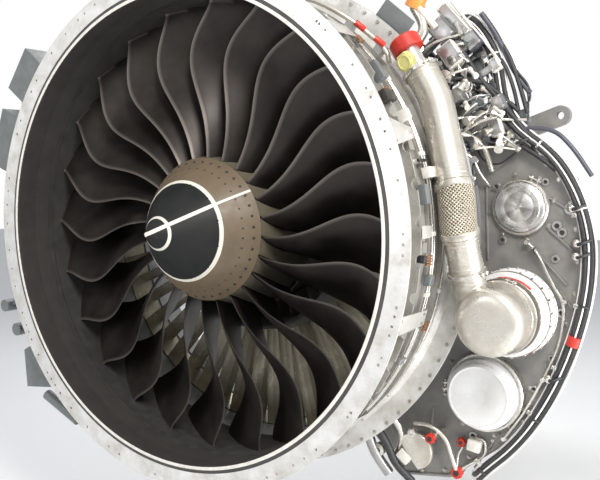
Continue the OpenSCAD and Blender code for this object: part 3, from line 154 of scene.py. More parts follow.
# %% Lamps
def lamp(name, place, target, size, watts, tint=(1, 1, 1)):
    """A square soft lamp at a place, turned to a target point."""
    data = bpy.data.lights.new(name, "AREA")
    data.energy = watts
    data.size = size
    data.color = tint
    thing = bpy.data.objects.new(name, data)
    bpy.context.collection.objects.link(thing)
    thing.location = place
    thing.rotation_euler = (Vector(target) - Vector(place)).to_track_quat("-Z", "Y").to_euler()
    return thing


lamp("key", (5.5, -3.5, 5.0), (0.9, 0.6, 0.2), 2.6, 580, (1.0, 0.98, 0.95))
lamp("front_fill", (-2.0, -6.5, 1.5), (0, 0, 0), 3.5, 170, (0.95, 0.97, 1.0))
lamp("right_low", (6.0, 0.5, -1.0), (1.5, 0.8, -0.5), 2.5, 240)
lamp("back_rim", (-3.5, 6.0, 4.5), (0, 2.5, 0), 3.0, 300)

# %% Floor
bpy.ops.object.select_all(action="DESELECT")
bpy.ops.mesh.primitive_plane_add(size=60, location=(0, 0, -2.35))
floor = bpy.context.object
floor.name = "floor"
floor_paint = bpy.data.materials.new("floor_paint")
floor_paint.use_nodes = True
shader = floor_paint.node_tree.nodes["Principled BSDF"]
shader.inputs["Base Color"].default_value = (0.93, 0.93, 0.93, 1)
shader.inputs["Roughness"].default_value = 0.9
floor.data.materials.append(floor_paint)
print("floor at", floor.location.z)

# %% [markdown]
# ## Shared surface effects
# Two effects come back in nearly every finish, so each is a node group with named sockets: patches
# of stain that change a colour and its gloss, and fine grain for cast and painted skins, which can
# be stretched into streaks. Both read Object coordinates, so a pattern stays put when a piece
# turns with its shaft.

# %% Effect groups
def new_group(name, inputs, outputs):
    """An empty node group: what it is given, its results and its object coordinates, as sockets."""
    group = bpy.data.node_groups.new(name, "ShaderNodeTree")
    for title, kind, value in inputs:
        socket = group.interface.new_socket(title, in_out="INPUT", socket_type=kind)
        socket.default_value = value
    for title, kind in outputs:
        group.interface.new_socket(title, in_out="OUTPUT", socket_type=kind)
    first = group.nodes.new("NodeGroupInput")
    last = group.nodes.new("NodeGroupOutput")
    return group, first.outputs, last.inputs, add(group, "TexCoord").outputs["Object"]


stain, given, result, where = new_group(
    "Stain patches",
    [("Clean", "NodeSocketColor", (1, 1, 1, 1)), ("Stained", "NodeSocketColor", (0, 0, 0, 1)),
     ("Patch scale", "NodeSocketFloat", 6.0), ("Amount", "NodeSocketFloat", 0.5),
     ("Gloss low", "NodeSocketFloat", 0.3), ("Gloss high", "NodeSocketFloat", 0.6)],
    [("Colour", "NodeSocketColor"), ("Roughness", "NodeSocketFloat")])
cloud = add(stain, "TexNoise", ("Detail", 6), ("Roughness", 0.62), ("Vector", where),
            ("Scale", given["Patch scale"]))
spread = add(stain, "MapRange", ("From Min", 0.38), ("From Max", 0.68),
             ("Value", cloud.outputs["Fac"])).outputs[0]
level = op(stain, "MULTIPLY", spread, given["Amount"])
tint = add(stain, "Mix", ("Factor", level), (6, given["Clean"]), (7, given["Stained"]), data_type="RGBA")
gloss = add(stain, "MapRange", ("Value", spread), ("To Min", given["Gloss low"]),
            ("To Max", given["Gloss high"]))
stain.links.new(tint.outputs[2], result["Colour"])
stain.links.new(gloss.outputs[0], result["Roughness"])

grain, given, result, where = new_group(
    "Fine grain", [("Grain scale", "NodeSocketFloat", 300.0), ("Stretch", "NodeSocketVector", (1, 1, 1))],
    [("Height", "NodeSocketFloat")])
stretch = add(grain, "VectorMath", (0, where), (1, given["Stretch"]), operation="MULTIPLY")
speck = add(grain, "TexNoise", ("Detail", 3), ("Vector", stretch.outputs[0]), ("Scale", given["Grain scale"]))
grain.links.new(speck.outputs["Fac"], result["Height"])
print("groups", [g.name for g in bpy.data.node_groups])


# %% Finish builder
def finish(name, clean, stained, metallic, gloss, patch, amount, grain_scale=250.0, relief=0.08,
           stretch=(1, 1, 1), coat=0.0):
    """A material for one finish: stain patches for colour and gloss, fine grain for relief."""
    mat = bpy.data.materials.new(name)
    mat.use_nodes = True
    tree = mat.node_tree
    shader = tree.nodes["Principled BSDF"]
    shader.inputs["Metallic"].default_value = metallic
    shader.inputs["Coat Weight"].default_value = coat
    patches = tree.nodes.new("ShaderNodeGroup")
    patches.node_tree = stain
    patches.name = "patches"
    for key, value in (("Clean", (*clean, 1)), ("Stained", (*stained, 1)), ("Patch scale", patch),
                       ("Amount", amount), ("Gloss low", gloss[0]), ("Gloss high", gloss[1])):
        patches.inputs[key].default_value = value
    tree.links.new(patches.outputs["Colour"], shader.inputs["Base Color"])
    tree.links.new(patches.outputs["Roughness"], shader.inputs["Roughness"])
    fine = tree.nodes.new("ShaderNodeGroup")
    fine.node_tree = grain
    fine.inputs["Grain scale"].default_value = grain_scale
    fine.inputs["Stretch"].default_value = stretch
    relief_from(tree, fine.outputs["Height"], relief, 0.002)
    return mat


print("finish builder ready")

# %% Finishes of this engine
case_paint = finish("case_paint", (0.739, 0.734, 0.712), (0.426, 0.398, 0.350), 0.4, (0.28, 0.5), 7, 0.75)
barrel_liner = finish("barrel_liner", (0.056, 0.052, 0.048), (0.032, 0.029, 0.027), 0.0, (0.5, 0.7), 5, 0.8,
                      stretch=(1, 1, 0.2))
track_rubber = finish("track_rubber", (0.035, 0.033, 0.03), (0.06, 0.055, 0.05), 0.0, (0.6, 0.8), 12, 0.6)
grey_paint = finish("grey_paint", (0.42, 0.43, 0.43), (0.25, 0.24, 0.22), 0.1, (0.35, 0.55), 8, 0.5)
bolt_steel = finish("bolt_steel", (0.48, 0.46, 0.43), (0.22, 0.19, 0.16), 0.9, (0.25, 0.5), 30, 0.6)
bright_steel = finish("bright_steel", (0.72, 0.70, 0.66), (0.45, 0.40, 0.34), 0.95, (0.18, 0.4), 14, 0.5)
vane_metal = finish("vane_metal", (0.275, 0.248, 0.187), (0.154, 0.130, 0.094), 0.75, (0.25, 0.45), 6, 0.5)
fairing_paint = finish("fairing_paint", (0.62, 0.62, 0.60), (0.42, 0.40, 0.37), 0.1, (0.35, 0.55), 4, 0.5)
core_metal = finish("core_metal", (0.42, 0.40, 0.37), (0.26, 0.22, 0.18), 0.85, (0.3, 0.5), 7, 0.6)
hot_metal = finish("hot_metal", (0.36, 0.30, 0.24), (0.17, 0.13, 0.12), 0.85, (0.32, 0.6), 5, 0.8)
mount_steel = finish("mount_steel", (0.42, 0.42, 0.42), (0.27, 0.25, 0.22), 0.9, (0.3, 0.5), 12, 0.5)
gearbox_cast = finish("gearbox_cast", (0.217, 0.213, 0.203), (0.326, 0.312, 0.283), 0.25, (0.45, 0.65),
                      10, 0.7, grain_scale=420, relief=0.35)
cover_polished = finish("cover_polished", (0.86, 0.86, 0.86), (0.65, 0.637, 0.60), 0.9, (0.2, 0.38), 12, 0.5)
white_gloss = finish("white_gloss", (0.82, 0.82, 0.81), (0.62, 0.60, 0.55), 0.0, (0.2, 0.4), 8, 0.4, coat=0.3)
duct_cream = finish("duct_cream", (0.660, 0.630, 0.567), (0.408, 0.366, 0.305), 0.75, (0.24, 0.44), 7, 0.7)
braid_wire = finish("braid_wire", (0.775, 0.720, 0.595), (0.372, 0.304, 0.228), 0.7, (0.35, 0.6), 60, 0.8)
red_plastic = finish("red_plastic", (0.55, 0.035, 0.02), (0.36, 0.02, 0.015), 0.0, (0.35, 0.5), 20, 0.5)
yellow_plastic = finish("yellow_plastic", (0.78, 0.74, 0.30), (0.6, 0.52, 0.18), 0.0, (0.4, 0.5), 20, 0.5)
orange_plastic = finish("orange_plastic", (0.74, 0.30, 0.06), (0.5, 0.18, 0.04), 0.0, (0.4, 0.5), 20, 0.5)
blue_paint = finish("blue_paint", (0.060, 0.062, 0.085), (0.10, 0.10, 0.115), 0.1, (0.35, 0.5), 14, 0.6)
dark_screw = finish("dark_screw", (0.035, 0.032, 0.030), (0.08, 0.07, 0.06), 0.4, (0.35, 0.55), 40, 0.5)
harness_sleeve = finish("harness_sleeve", (0.022, 0.022, 0.026), (0.05, 0.048, 0.045), 0.0, (0.4, 0.65),
                        40, 0.6, grain_scale=600, relief=0.4)
box_paint = finish("box_paint", (0.165, 0.18, 0.18), (0.10, 0.10, 0.095), 0.05, (0.35, 0.55), 9, 0.5)
clip_white = finish("clip_white", (0.78, 0.76, 0.70), (0.55, 0.50, 0.42), 0.0, (0.4, 0.55), 25, 0.5)
spinner_paint = finish("spinner_paint", (0.012, 0.013, 0.013), (0.028, 0.028, 0.026), 0.0,
                       (0.42, 0.6), 6, 0.6)
spinner_tan = finish("spinner_tan", (0.179, 0.133, 0.084), (0.122, 0.090, 0.056), 0.0, (0.4, 0.6), 7, 0.7)
disc_steel = finish("disc_steel", (0.38, 0.38, 0.38), (0.24, 0.23, 0.22), 0.9, (0.3, 0.45), 12, 0.5)
blade_titanium = finish("blade_titanium", (0.085, 0.070, 0.060), (0.15, 0.125, 0.105), 0.55,
                        (0.32, 0.5), 4, 0.7)
filler_olive = finish("filler_olive", (0.155, 0.135, 0.095), (0.10, 0.085, 0.06), 0.0, (0.45, 0.6), 9, 0.6)
print("finishes", len(bpy.data.materials))

# %% Finish of each node
wears = {
    case_paint: "fan_case case_brackets",
    barrel_liner: "front_barrel_panel",
    track_rubber: "fan_track_lining",
    grey_paint: "rear_fan_case intermediate_case splitter_nose front_bearing_housing top_fittings",
    bolt_steel: "flange_bolts",
    dark_screw: "rotor_screws",
    bright_steel: "bearing_outer_rings shaft_bearings fan_shaft pad_clamp_rings duct_band_clamps case_pipes "
                  "drain_tube duct_adapter",
    vane_metal: "outlet_guide_vanes core_inlet_vanes",
    fairing_paint: "core_fairing",
    core_metal: "ip_compressor_case high_compressor_case ip_compressor high_compressor",
    hot_metal: "combustor_case combustor_liner fuel_nozzles turbine_case turbine_guide_vanes exhaust_frame "
               "exhaust_nozzle tail_cone lp_turbine ip_turbine high_turbine",
    mount_steel: "front_mount rear_mount gearbox_links",
    gearbox_cast: "gearbox_housing lug_bracket",
    cover_polished: "upper_pad_cover",
    white_gloss: "lower_pad_cover air_starter",
    duct_cream: "duct_elbow lower_air_duct upper_air_duct bleed_valve",
    braid_wire: "braided_joint",
    red_plastic: "blanking_caps",
    harness_sleeve: "wiring_harness",
    box_paint: "control_boxes side_fittings",
    clip_white: "pipe_clips",
    spinner_paint: "spinner_cone",
    spinner_tan: "spinner_fairing",
    disc_steel: "fan_disc",
    blade_titanium: "fan_blades",
    filler_olive: "annulus_fillers",
}
dressed = set()
for finish_of, names in wears.items():
    for name in names.split():
        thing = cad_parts[name]
        thing.data.materials.clear()
        thing.data.materials.append(finish_of)
        dressed.add(name)
print("undressed nodes:", sorted(set(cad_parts) - dressed))

# %% [markdown]
# ## Ways of working
# Every new piece starts as a primitive at its own place and is shaped in edit mode. A few short
# helpers keep those steps readable: one extrudes a circle ring by ring like a lathe shape, one
# rounds edges, one draws a tube along points, and one copies a finished fastener to every place
# that needs it. Sizes are given in millimetres, because the CAD's sizes are.

# %% Measures and places
MM = 0.001
BACK = (0, 1, 0)
FRONT = (0, -1, 0)


def polar(r, degrees, y):
    """A point in metres: radius from the shaft, and angle from +X towards +Z, in millimetres."""
    a = math.radians(degrees)
    return Vector((r * math.cos(a), y, r * math.sin(a))) * MM


def outward(degrees):
    """The direction away from the shaft at an angle."""
    return polar(1000, degrees, 0)


def spot(x, y, z):
    """A point given in millimetres."""
    return Vector((x, y, z)) * MM


print("one metre out at 90 degrees is", [round(v, 3) for v in outward(90)])


# %% Selecting
def deselect():
    """Leave edit mode and select nothing."""
    if bpy.context.object and bpy.context.object.mode != "OBJECT":
        bpy.ops.object.mode_set(mode="OBJECT")
    bpy.ops.object.select_all(action="DESELECT")


def only(thing):
    """Make one object the selected and active one."""
    deselect()
    thing.select_set(True)
    bpy.context.view_layer.objects.active = thing
    return thing


def pick(thing, test, kind="FACE"):
    """Go into edit mode and select the faces or vertices whose centre passes a test."""
    only(thing)
    bpy.ops.object.mode_set(mode="EDIT")
    bpy.ops.mesh.select_mode(type=kind)
    bpy.ops.mesh.select_all(action="DESELECT")
    work = bmesh.from_edit_mesh(thing.data)
    for part in (work.faces if kind == "FACE" else work.verts):
        where = part.calc_center_median() if kind == "FACE" else part.co
        if test(where):
            part.select_set(True)
    bmesh.update_edit_mesh(thing.data)


print("selection helpers ready")


# %% Cleaning and rounding
def settle(thing, angle=35):
    """Put the origin home, merge doubles, turn the faces outward and smooth the curved ones."""
    only(thing)
    bpy.ops.object.transform_apply(location=True, rotation=True, scale=True)
    bpy.ops.object.mode_set(mode="EDIT")
    bpy.ops.mesh.select_mode(type="VERT")
    bpy.ops.mesh.select_all(action="SELECT")
    bpy.ops.mesh.remove_doubles(threshold=0.00002)
    bpy.ops.mesh.normals_make_consistent(inside=False)
    bpy.ops.object.mode_set(mode="OBJECT")
    bpy.ops.object.shade_smooth_by_angle(angle=math.radians(angle))
    return thing


def modifier(thing, kind, **settings):
    """Add one modifier with its settings and apply it."""
    only(thing)
    step = thing.modifiers.new(kind.lower(), kind)
    for key, value in settings.items():
        setattr(step, key, value)
    bpy.ops.object.modifier_apply(modifier=step.name)
    return thing


def rounded(thing, width):
    """Round every edge sharper than thirty degrees."""
    return modifier(thing, "BEVEL", width=width * MM, segments=2, limit_method="ANGLE",
                    angle_limit=math.radians(30), use_clamp_overlap=True)


print("cleaning helpers ready")


# %% Turned shapes, blocks and tubes
def turned(at, axis, rings, sides=64, solid=True):
    """A circle extruded ring by ring. at: metres; rings: (radius, distance along the axis)."""
    deselect()
    bpy.ops.mesh.primitive_circle_add(vertices=sides, radius=rings[0][0] * MM,
                                      fill_type="NGON" if solid else "NOTHING",
                                      location=(0, 0, rings[0][1] * MM))
    thing = bpy.context.object
    bpy.ops.object.mode_set(mode="EDIT")
    bpy.ops.mesh.select_all(action="SELECT")
    extrude = bpy.ops.mesh.extrude_region_move if solid else bpy.ops.mesh.extrude_edges_move
    for (r0, h0), (r1, h1) in zip(rings, rings[1:]):
        extrude(TRANSFORM_OT_translate={"value": (0, 0, (h1 - h0) * MM)})
        if r1 != r0:
            bpy.ops.transform.resize(value=(r1 / r0, r1 / r0, 1))
    bpy.ops.object.mode_set(mode="OBJECT")
    bpy.ops.object.transform_apply(location=True, rotation=True, scale=True)
    thing.rotation_mode = "QUATERNION"
    thing.rotation_quaternion = Vector(axis).to_track_quat("Z", "Y")
    thing.location = at
    return settle(thing)


def block(at, size, turn=(0, 0, 0), bevel=2.0):
    """A cube at its size and place with rounded edges. at: metres; turn: degrees."""
    deselect()
    bpy.ops.mesh.primitive_cube_add(size=1, location=at, rotation=[math.radians(t) for t in turn])
    thing = bpy.context.object
    thing.scale = Vector(size) * MM
    bpy.ops.object.transform_apply(location=False, rotation=False, scale=True)
    rounded(thing, bevel)
    return settle(thing)


def placed(matrix, size, bevel=2.0):
    """A rounded block put to its place by a matrix."""
    thing = block((0, 0, 0), size, bevel=bevel)
    thing.matrix_world = matrix
    return settle(thing)


def at_angle(place, degrees):
    """A matrix with its origin at a place, and its x axis outward at an angle about the shaft."""
    return Matrix.Translation(place) @ Matrix.Rotation(-math.radians(degrees), 4, "Y")


def tube(points, r, sides=12):
    """A smooth tube along points in metres, drawn as a curve and turned into a mesh."""
    deselect()
    line = bpy.data.curves.new("line", "CURVE")
    line.dimensions = "3D"
    spline = line.splines.new("POLY")
    spline.points.add(len(points) - 1)
    for knot, p in zip(spline.points, points):
        knot.co = (*p, 1)
    line.bevel_depth = r * MM
    line.bevel_resolution = max(0, sides // 4 - 1)
    line.use_fill_caps = True
    thing = bpy.data.objects.new("tube", line)
    bpy.context.collection.objects.link(thing)
    only(thing)
    bpy.ops.object.convert(target="MESH")
    return settle(bpy.context.object, 60)


print("shape helpers ready")


# %% Copies, joins and paint
def copies(model, spots):
    """Copies of a finished model, each with its own mesh, at (place, axis, turn) spots."""
    made = []
    for place, axis, turn in spots:
        thing = model.copy()
        thing.data = model.data.copy()
        bpy.context.collection.objects.link(thing)
        swing = Vector(axis).to_track_quat("Z", "Y").to_matrix().to_4x4()
        thing.matrix_world = Matrix.Translation(place) @ swing @ Matrix.Rotation(math.radians(turn), 4, "Z")
        made.append(thing)
    return made


def joined(things, name, finish_of, body="engine_frame", stands_for=()):
    """Join pieces into one named piece with a finish, its body and what it stands for."""
    deselect()
    for thing in things:
        thing.select_set(True)
    bpy.context.view_layer.objects.active = things[0]
    if len(things) > 1:
        bpy.ops.object.join()
    whole = bpy.context.object
    bpy.ops.object.transform_apply(location=True, rotation=True, scale=True)
    whole.name = name
    if finish_of:
        whole.data.materials.clear()
        whole.data.materials.append(finish_of)
    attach(whole, body)
    if stands_for:
        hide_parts(*stands_for)
    return whole


def painted(thing, mat):
    """Give a piece its own finish before it is joined to others."""
    thing.data.materials.clear()
    thing.data.materials.append(mat)
    return thing


def lathe(mat, at, axis, rings, sides=64, solid=True):
    """A turned shape with its finish."""
    return painted(turned(at, axis, rings, sides, solid), mat)


print("joining helpers ready")

# %% [markdown]
# ## Fasteners
# Bolts are everywhere on an engine. One is modelled with a washer face and a six-sided head with chamfered
# corners, and then it is copied. A screw with a domed head and a rivet do the same job for thin sheet.

# %% Bolt, dome screw and rivet
def hex_bolt(size, height):
    """A bolt head standing on z = 0. size: width across the corners."""
    washer = turned((0, 0, 0), (0, 0, 1), [(size * 0.66, 0), (size * 0.66, height * 0.16)], 14)
    head = turned((0, 0, 0), (0, 0, 1), [(size * 0.5, height * 0.16), (size * 0.5, height * 0.9),
                                        (size * 0.42, height)], 6)
    return [washer, head]


def fastener(parts):
    """Join the parts of a fastener into one model to copy from."""
    deselect()
    for part in parts:
        part.select_set(True)
    bpy.context.view_layer.objects.active = parts[0]
    if len(parts) > 1:
        bpy.ops.object.join()
    return bpy.context.object


def fixed(model, spots, mat=None):
    """Painted copies of a fastener."""
    return [painted(thing, mat or bolt_steel) for thing in copies(model, spots)]


bolt_small = fastener(hex_bolt(14, 9))
bolt_large = fastener(hex_bolt(24, 16))
dome_screw = fastener([turned((0, 0, 0), (0, 0, 1), [(9, 0), (9, 2), (7, 4.5), (3, 6)], 12)])
rivet = fastener([turned((0, 0, 0), (0, 0, 1), [(6, 0), (5.4, 2), (2.5, 3.6)], 8)])
for model in (bolt_small, bolt_large, dome_screw, rivet):
    bpy.context.collection.objects.unlink(model)
    print("fastener faces", len(model.data.polygons))

# %% [markdown]
# ## Fan blades
# The blades are the engine's signature: wide, hollow titanium blades that twist from almost
# straight at the root to sixty degrees at the tip, with a leading edge that swings forward at two
# thirds of the span. One tube of rings is drawn for the first blade, and every ring is then bent
# to the same foil sections as the CAD's, five times as fine. The other blades are turned copies.

# %% Blade sections
FAN_R, FOOT_R, BLADE_Y, BLADES = 1475.0, 433.0, 316.0, 24
CHORD, TWIST, CAMBER = (400, 520, 560), (9, 40, 60), (0.085, 0.055, 0.018)


def along(a, b, c, s):
    """A value that is a at the root, b at half span and c at the tip."""
    return a + (4 * b - 3 * a - c) * s + 2 * (a - 2 * b + c) * s * s


def blade_spot(s, u, side, a):
    """Foil point u of span fraction s on one side of the blade that starts at angle a."""
    r = FOOT_R + s * (FAN_R - FOOT_R)
    chord = along(*CHORD, s)
    twist = math.radians(along(*TWIST, s))
    thick = 34 + (11 - 34) * s ** 0.75
    belly = math.sin(math.pi * u ** 0.75)
    c = -chord * along(*CAMBER, s) * 4 * u * (1 - u) + side * thick / 2 * belly
    across = -u * chord * math.sin(twist) + c * math.cos(twist)
    back = u * chord * math.cos(twist) + c * math.sin(twist)
    lean = 8.1 * math.sin(math.pi * s ** 1.42) ** 1.5 + 3.6 * s if s < 1 else 3.6
    return polar(r, a + lean + math.degrees(across / r), BLADE_Y + 84 * s ** 2.2 + back)


print("blade height", FAN_R - FOOT_R, "mm, chord at the tip", along(*CHORD, 1), "mm")

# %% One blade
SPANS, AROUND, FIRST = 44, 44, 11.5
blade = turned((0, 0, 0), (0, 0, 1), [(100, 1000 * k / SPANS) for k in range(SPANS + 1)], AROUND, solid=False)
mark = blade.data.attributes.new("foil", "FLOAT_VECTOR", "POINT")
for v in blade.data.vertices:
    s = min(1.0, max(0.0, v.co.z))
    t = (math.degrees(math.atan2(v.co.y, v.co.x)) % 360) / 360
    u = (1 - math.cos(2 * math.pi * t)) / 2
    side = 1 if t < 0.5 else -1
    mark.data[v.index].vector = (u, s, side)
    v.co = blade_spot(s, u, side, FIRST)
pick(blade, lambda p: math.hypot(p.x, p.z) > (FAN_R - 0.5) * MM, "VERT")
bpy.ops.mesh.edge_face_add()
settle(blade, 60)
print("foil faces", len(blade.data.polygons))

# %% Its dovetail foot
ROOT_BIAS = -CHORD[0] * CAMBER[0] * 1.4 - 20
foot_face = [(-33, 371), (33, 371), (33, 383), (19, 399), (19, 439), (-19, 439), (-19, 399), (-33, 383)]
deselect()
bpy.ops.mesh.primitive_circle_add(vertices=8, radius=0.03, fill_type="NGON")
foot = bpy.context.object
for v, (x, z) in zip(foot.data.vertices, foot_face):
    v.co = (x * MM, 0.330, z * MM)
bpy.ops.object.mode_set(mode="EDIT")
bpy.ops.mesh.select_all(action="SELECT")
bpy.ops.mesh.extrude_region_move(TRANSFORM_OT_translate={"value": (0, 0.366, 0)})
bpy.ops.object.mode_set(mode="OBJECT")
foot.data.transform(Matrix.Translation((-ROOT_BIAS * MM, 0, 0)))
foot.data.transform(Matrix.Rotation(math.radians(90 - FIRST), 4, "Y"))
settle(foot)
only(blade)
foot.select_set(True)
bpy.ops.object.join()
print("one blade:", len(blade.data.vertices), "vertices")

# %% [markdown]
# The titanium is dark and slightly brown, with long brush marks from root to tip. A lighter band runs down
# the leading edge, where the metal is polished and air keeps it clean; part of its brightness is a painted
# highlight along the edge. The foil coordinates stored with the mesh place all of this.

# %% Titanium
blade_ti = finish("blade_ti", (0.024, 0.020, 0.018), (0.062, 0.051, 0.044), 0.6, (0.38, 0.52), 3.2, 0.7)
tree = blade_ti.node_tree
foil = add(tree, "Attribute", attribute_name="foil").outputs["Vector"]
chord_part = add(tree, "SeparateXYZ", (0, foil)).outputs["X"]
# leading edge strip: lighter polished metal, brightened further by a painted highlight along the edge
repaint(tree, fade(tree, chord_part, 0.012, 0.05), (0.15, 0.13, 0.115))
brushed = add(tree, "VectorMath", (0, foil), (1, (90, 2.5, 3)), operation="MULTIPLY").outputs[0]
brush = add(tree, "TexNoise", ("Scale", 1), ("Detail", 4), ("Vector", brushed))
relief_from(tree, brush.outputs["Fac"], 0.12, 0.003)
print("titanium made")

# %% The other twenty-three blades
whole_fan = [blade]
for k in range(1, BLADES):
    other = blade.copy()
    other.data = blade.data.copy()
    bpy.context.collection.objects.link(other)
    other.matrix_world = Matrix.Rotation(-math.radians(360 / BLADES * k), 4, "Y")
    whole_fan.append(other)
fan = joined(whole_fan, "fan_blade_set", blade_ti, "fan_rotor", ("fan_blades",))
print("fan faces:", len(fan.data.polygons))

# %% [markdown]
# ## Spinner
# The nose is a black composite cone. Its rear edge carries a cream ring, a cream bar runs from the
# tip over the tan ring behind, so that a turning fan can be seen, and a small circle marks the tip.
# These are painted marks, so they belong in the material and not in the mesh.

# %% Painted cone
spinner_paint.name = "spinner_black_paint"
spinner_paint.node_tree.nodes["Principled BSDF"].inputs["Specular IOR Level"].default_value = 0.2
BAR = math.radians(34)
CREAM = (0.80, 0.76, 0.66)


def nose_measures(tree):
    """Metres along the bar, across it and out from the axis, as sockets of a material."""
    x, _, z = axes(tree)
    c, s = math.cos(BAR), math.sin(BAR)
    return weighed(tree, x, z, c, s), weighed(tree, x, z, -s, c), op(tree, "SQRT", weighed(tree, x, z, x, z))


tree = spinner_paint.node_tree
bar_along, bar_across, from_axis = nose_measures(tree)
bar = op(tree, "MULTIPLY", band(tree, bar_across, 0, 0.011, 0.002), band(tree, bar_along, 0.19, 0.20, 0.004))
edge_ring = band(tree, from_axis, 0.318, 0.014, 0.003)
circle = op(tree, "MULTIPLY", band(tree, from_axis, 0.098, 0.006, 0.002), 0.9)
repaint(tree, op(tree, "MAXIMUM", op(tree, "MAXIMUM", bar, edge_ring), circle), CREAM)
tree = spinner_tan.node_tree
bar_along, bar_across, _ = nose_measures(tree)
tail = op(tree, "MULTIPLY", band(tree, bar_across, 0, 0.007, 0.002),
          band(tree, bar_along, 0.385, 0.075, 0.004))
repaint(tree, tail, CREAM)
print("cone and ring painted")

# %% Second row of screws round the tan ring
tan_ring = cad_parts["spinner_fairing"]
row = []
for k in range(40):
    a = 9 * k + 4.5
    hit, where, facing, _ = tan_ring.ray_cast(polar(800, a, 268), -outward(a))
    if hit:
        row += copies(dome_screw, [(where, facing, 0)])
row = joined(row, "fairing_screws", dark_screw, "fan_rotor")
print("second row faces", len(row.data.polygons))

# %% [markdown]
# ## Air duct of the starter
# Hot air reaches the starter through a thin-walled steel duct. It comes down along the case, passes
# a flexible joint wrapped in wire braid, and ends in a round elbow in front of the starter. The
# elbow is pressed and welded from sheet, so its forms flow into each other: the drum and the inlet
# are built apart, fused by a voxel remesh and then smoothed, which leaves the soft fillet of the
# real pressing.

# %% Route of the duct
STARTER = spot(1839.7, 0, -458.7)
LOW, MID0 = spot(1689.7, 596, -194.7), spot(1665.7, 546, 8.3)
MID1, BEND = spot(1623.7, 535, 309.3), spot(1467.7, 640, 795.3)
TOP_DIR = Vector((-103, 7.5, 162)).normalized()
LOW_DIR, UP_DIR = (MID0 - LOW).normalized(), (BEND - MID1).normalized()
TOP = BEND + 0.186 * TOP_DIR
DUCT_R = 97.0


def round_corner(a, b, c, reach=0.09, steps=6):
    """Points of a soft bend at b on the way from a to c."""
    p, q = b + (a - b).normalized() * reach, b + (c - b).normalized() * reach
    return [p * (1 - t) ** 2 + b * 2 * t * (1 - t) + q * t * t for t in (k / steps for k in range(steps + 1))]


def seat_on(y):
    """The starter's axis at a place along the shaft, in millimetres."""
    return Vector((STARTER.x, y * MM, STARTER.z))


print("duct from", [round(v, 2) for v in TOP], "to", [round(v, 2) for v in LOW])

# %% Elbow
drum = turned(seat_on(485), BACK, [(118, 0), (140, 1.5), (160, 8), (179, 22), (192, 42), (198, 70),
                                   (198, 224)])
inlet = tube([STARTER + spot(-70, 596, 20), STARTER + spot(-84, 596, 80)]
             + round_corner(STARTER + spot(-84, 596, 80), LOW - 0.115 * LOW_DIR, LOW, 0.05)
             + [LOW - 0.02 * LOW_DIR], DUCT_R, 48)
only(drum)
inlet.select_set(True)
bpy.ops.object.join()
elbow = bpy.context.object
modifier(elbow, "REMESH", mode="VOXEL", voxel_size=0.006)
modifier(elbow, "SMOOTH", factor=0.6, iterations=14)
settle(elbow, 60)
rim = turned(seat_on(694), BACK, [(199, 0), (202, 6), (208, 9), (208, 15.7), (162, 15.7), (162, 0)], 96)
collar = turned(LOW - 0.02 * LOW_DIR, LOW_DIR, [(97.5, -8), (98, 0), (105, 5), (105, 20), (93, 20), (93, -8)])
weld = turned(LOW - 0.052 * LOW_DIR, LOW_DIR, [(96, -3), (98.6, -1.5), (98.6, 1.5), (96, 3)])
elbow = joined([elbow, rim, collar, weld], "elbow_pressing", duct_cream,
               stands_for=("duct_elbow",))
print("elbow faces", len(elbow.data.polygons))


# %% Straight ducts
def duct_piece(name, points, first, last, stands_for):
    """A duct with a rolled collar, a bead and a weld line at each end. first, last: ways inward."""
    parts = [tube(points, DUCT_R, 64)]
    for at, axis in ((points[0], first), (points[-1], last)):
        parts.append(turned(at, axis, [
            (98, 0), (106, 1), (106, 13), (98, 17), (98, 30), (100.5, 33), (100.5, 39), (98, 42), (98, 60),
            (99.4, 61), (99.4, 64), (98, 65)]))
    return joined(parts, name, duct_cream, stands_for=stands_for)


SEAM = 0.0005
lower = duct_piece("duct_lower", [LOW + SEAM * LOW_DIR, MID0 - SEAM * LOW_DIR], LOW_DIR, -LOW_DIR,
                   ("lower_air_duct",))
upper = duct_piece("duct_upper", [MID1 + SEAM * UP_DIR, *round_corner(MID1, BEND, TOP, 0.10, 8), TOP],
                   UP_DIR, -TOP_DIR, ("upper_air_duct",))
print("ducts", len(lower.data.polygons), len(upper.data.polygons))

# %% [markdown]
# The flexible joint is a bellows under a sleeve of wire braid. Bundles of fine wires cross in two
# directions, so the weave is drawn in the material: two sets of spirals, read from the distance
# along the joint and the angle round it, which are stored with the mesh.

# %% Braided joint
braid_line = [MID0] + round_corner(MID0, MID0 + 0.115 * LOW_DIR, MID1 - 0.115 * UP_DIR, 0.07) + round_corner(
    MID0 + 0.115 * LOW_DIR, MID1 - 0.115 * UP_DIR, MID1, 0.07) + [MID1]
sleeve = tube(braid_line, DUCT_R + 9, 48)
weave = sleeve.data.attributes.new("weave", "FLOAT_VECTOR", "POINT")
axis_line = (MID1 - MID0).normalized()
side_line = axis_line.cross(Vector((0, 1, 0))).normalized()
third_line = axis_line.cross(side_line)
for v in sleeve.data.vertices:
    off = v.co - MID0
    along_joint = off.dot(axis_line)
    centre = min(braid_line, key=lambda p: abs((p - MID0).dot(axis_line) - along_joint))
    out_from = v.co - centre
    angle = math.atan2(out_from.dot(side_line), out_from.dot(third_line))
    weave.data[v.index].vector = (along_joint, math.cos(angle), math.sin(angle))
sleeve = painted(sleeve, braid_wire)
ends = [lathe(duct_cream, at, axis, [(98, 0), (108, 2), (111, 8), (111, 34), (108, 40), (104, 41)])
        for at, axis in ((MID0, LOW_DIR), (MID1, -UP_DIR))]
joint = joined([sleeve, *ends], "braid_sleeve", None, stands_for=("braided_joint",))
print("braid faces", len(joint.data.polygons))
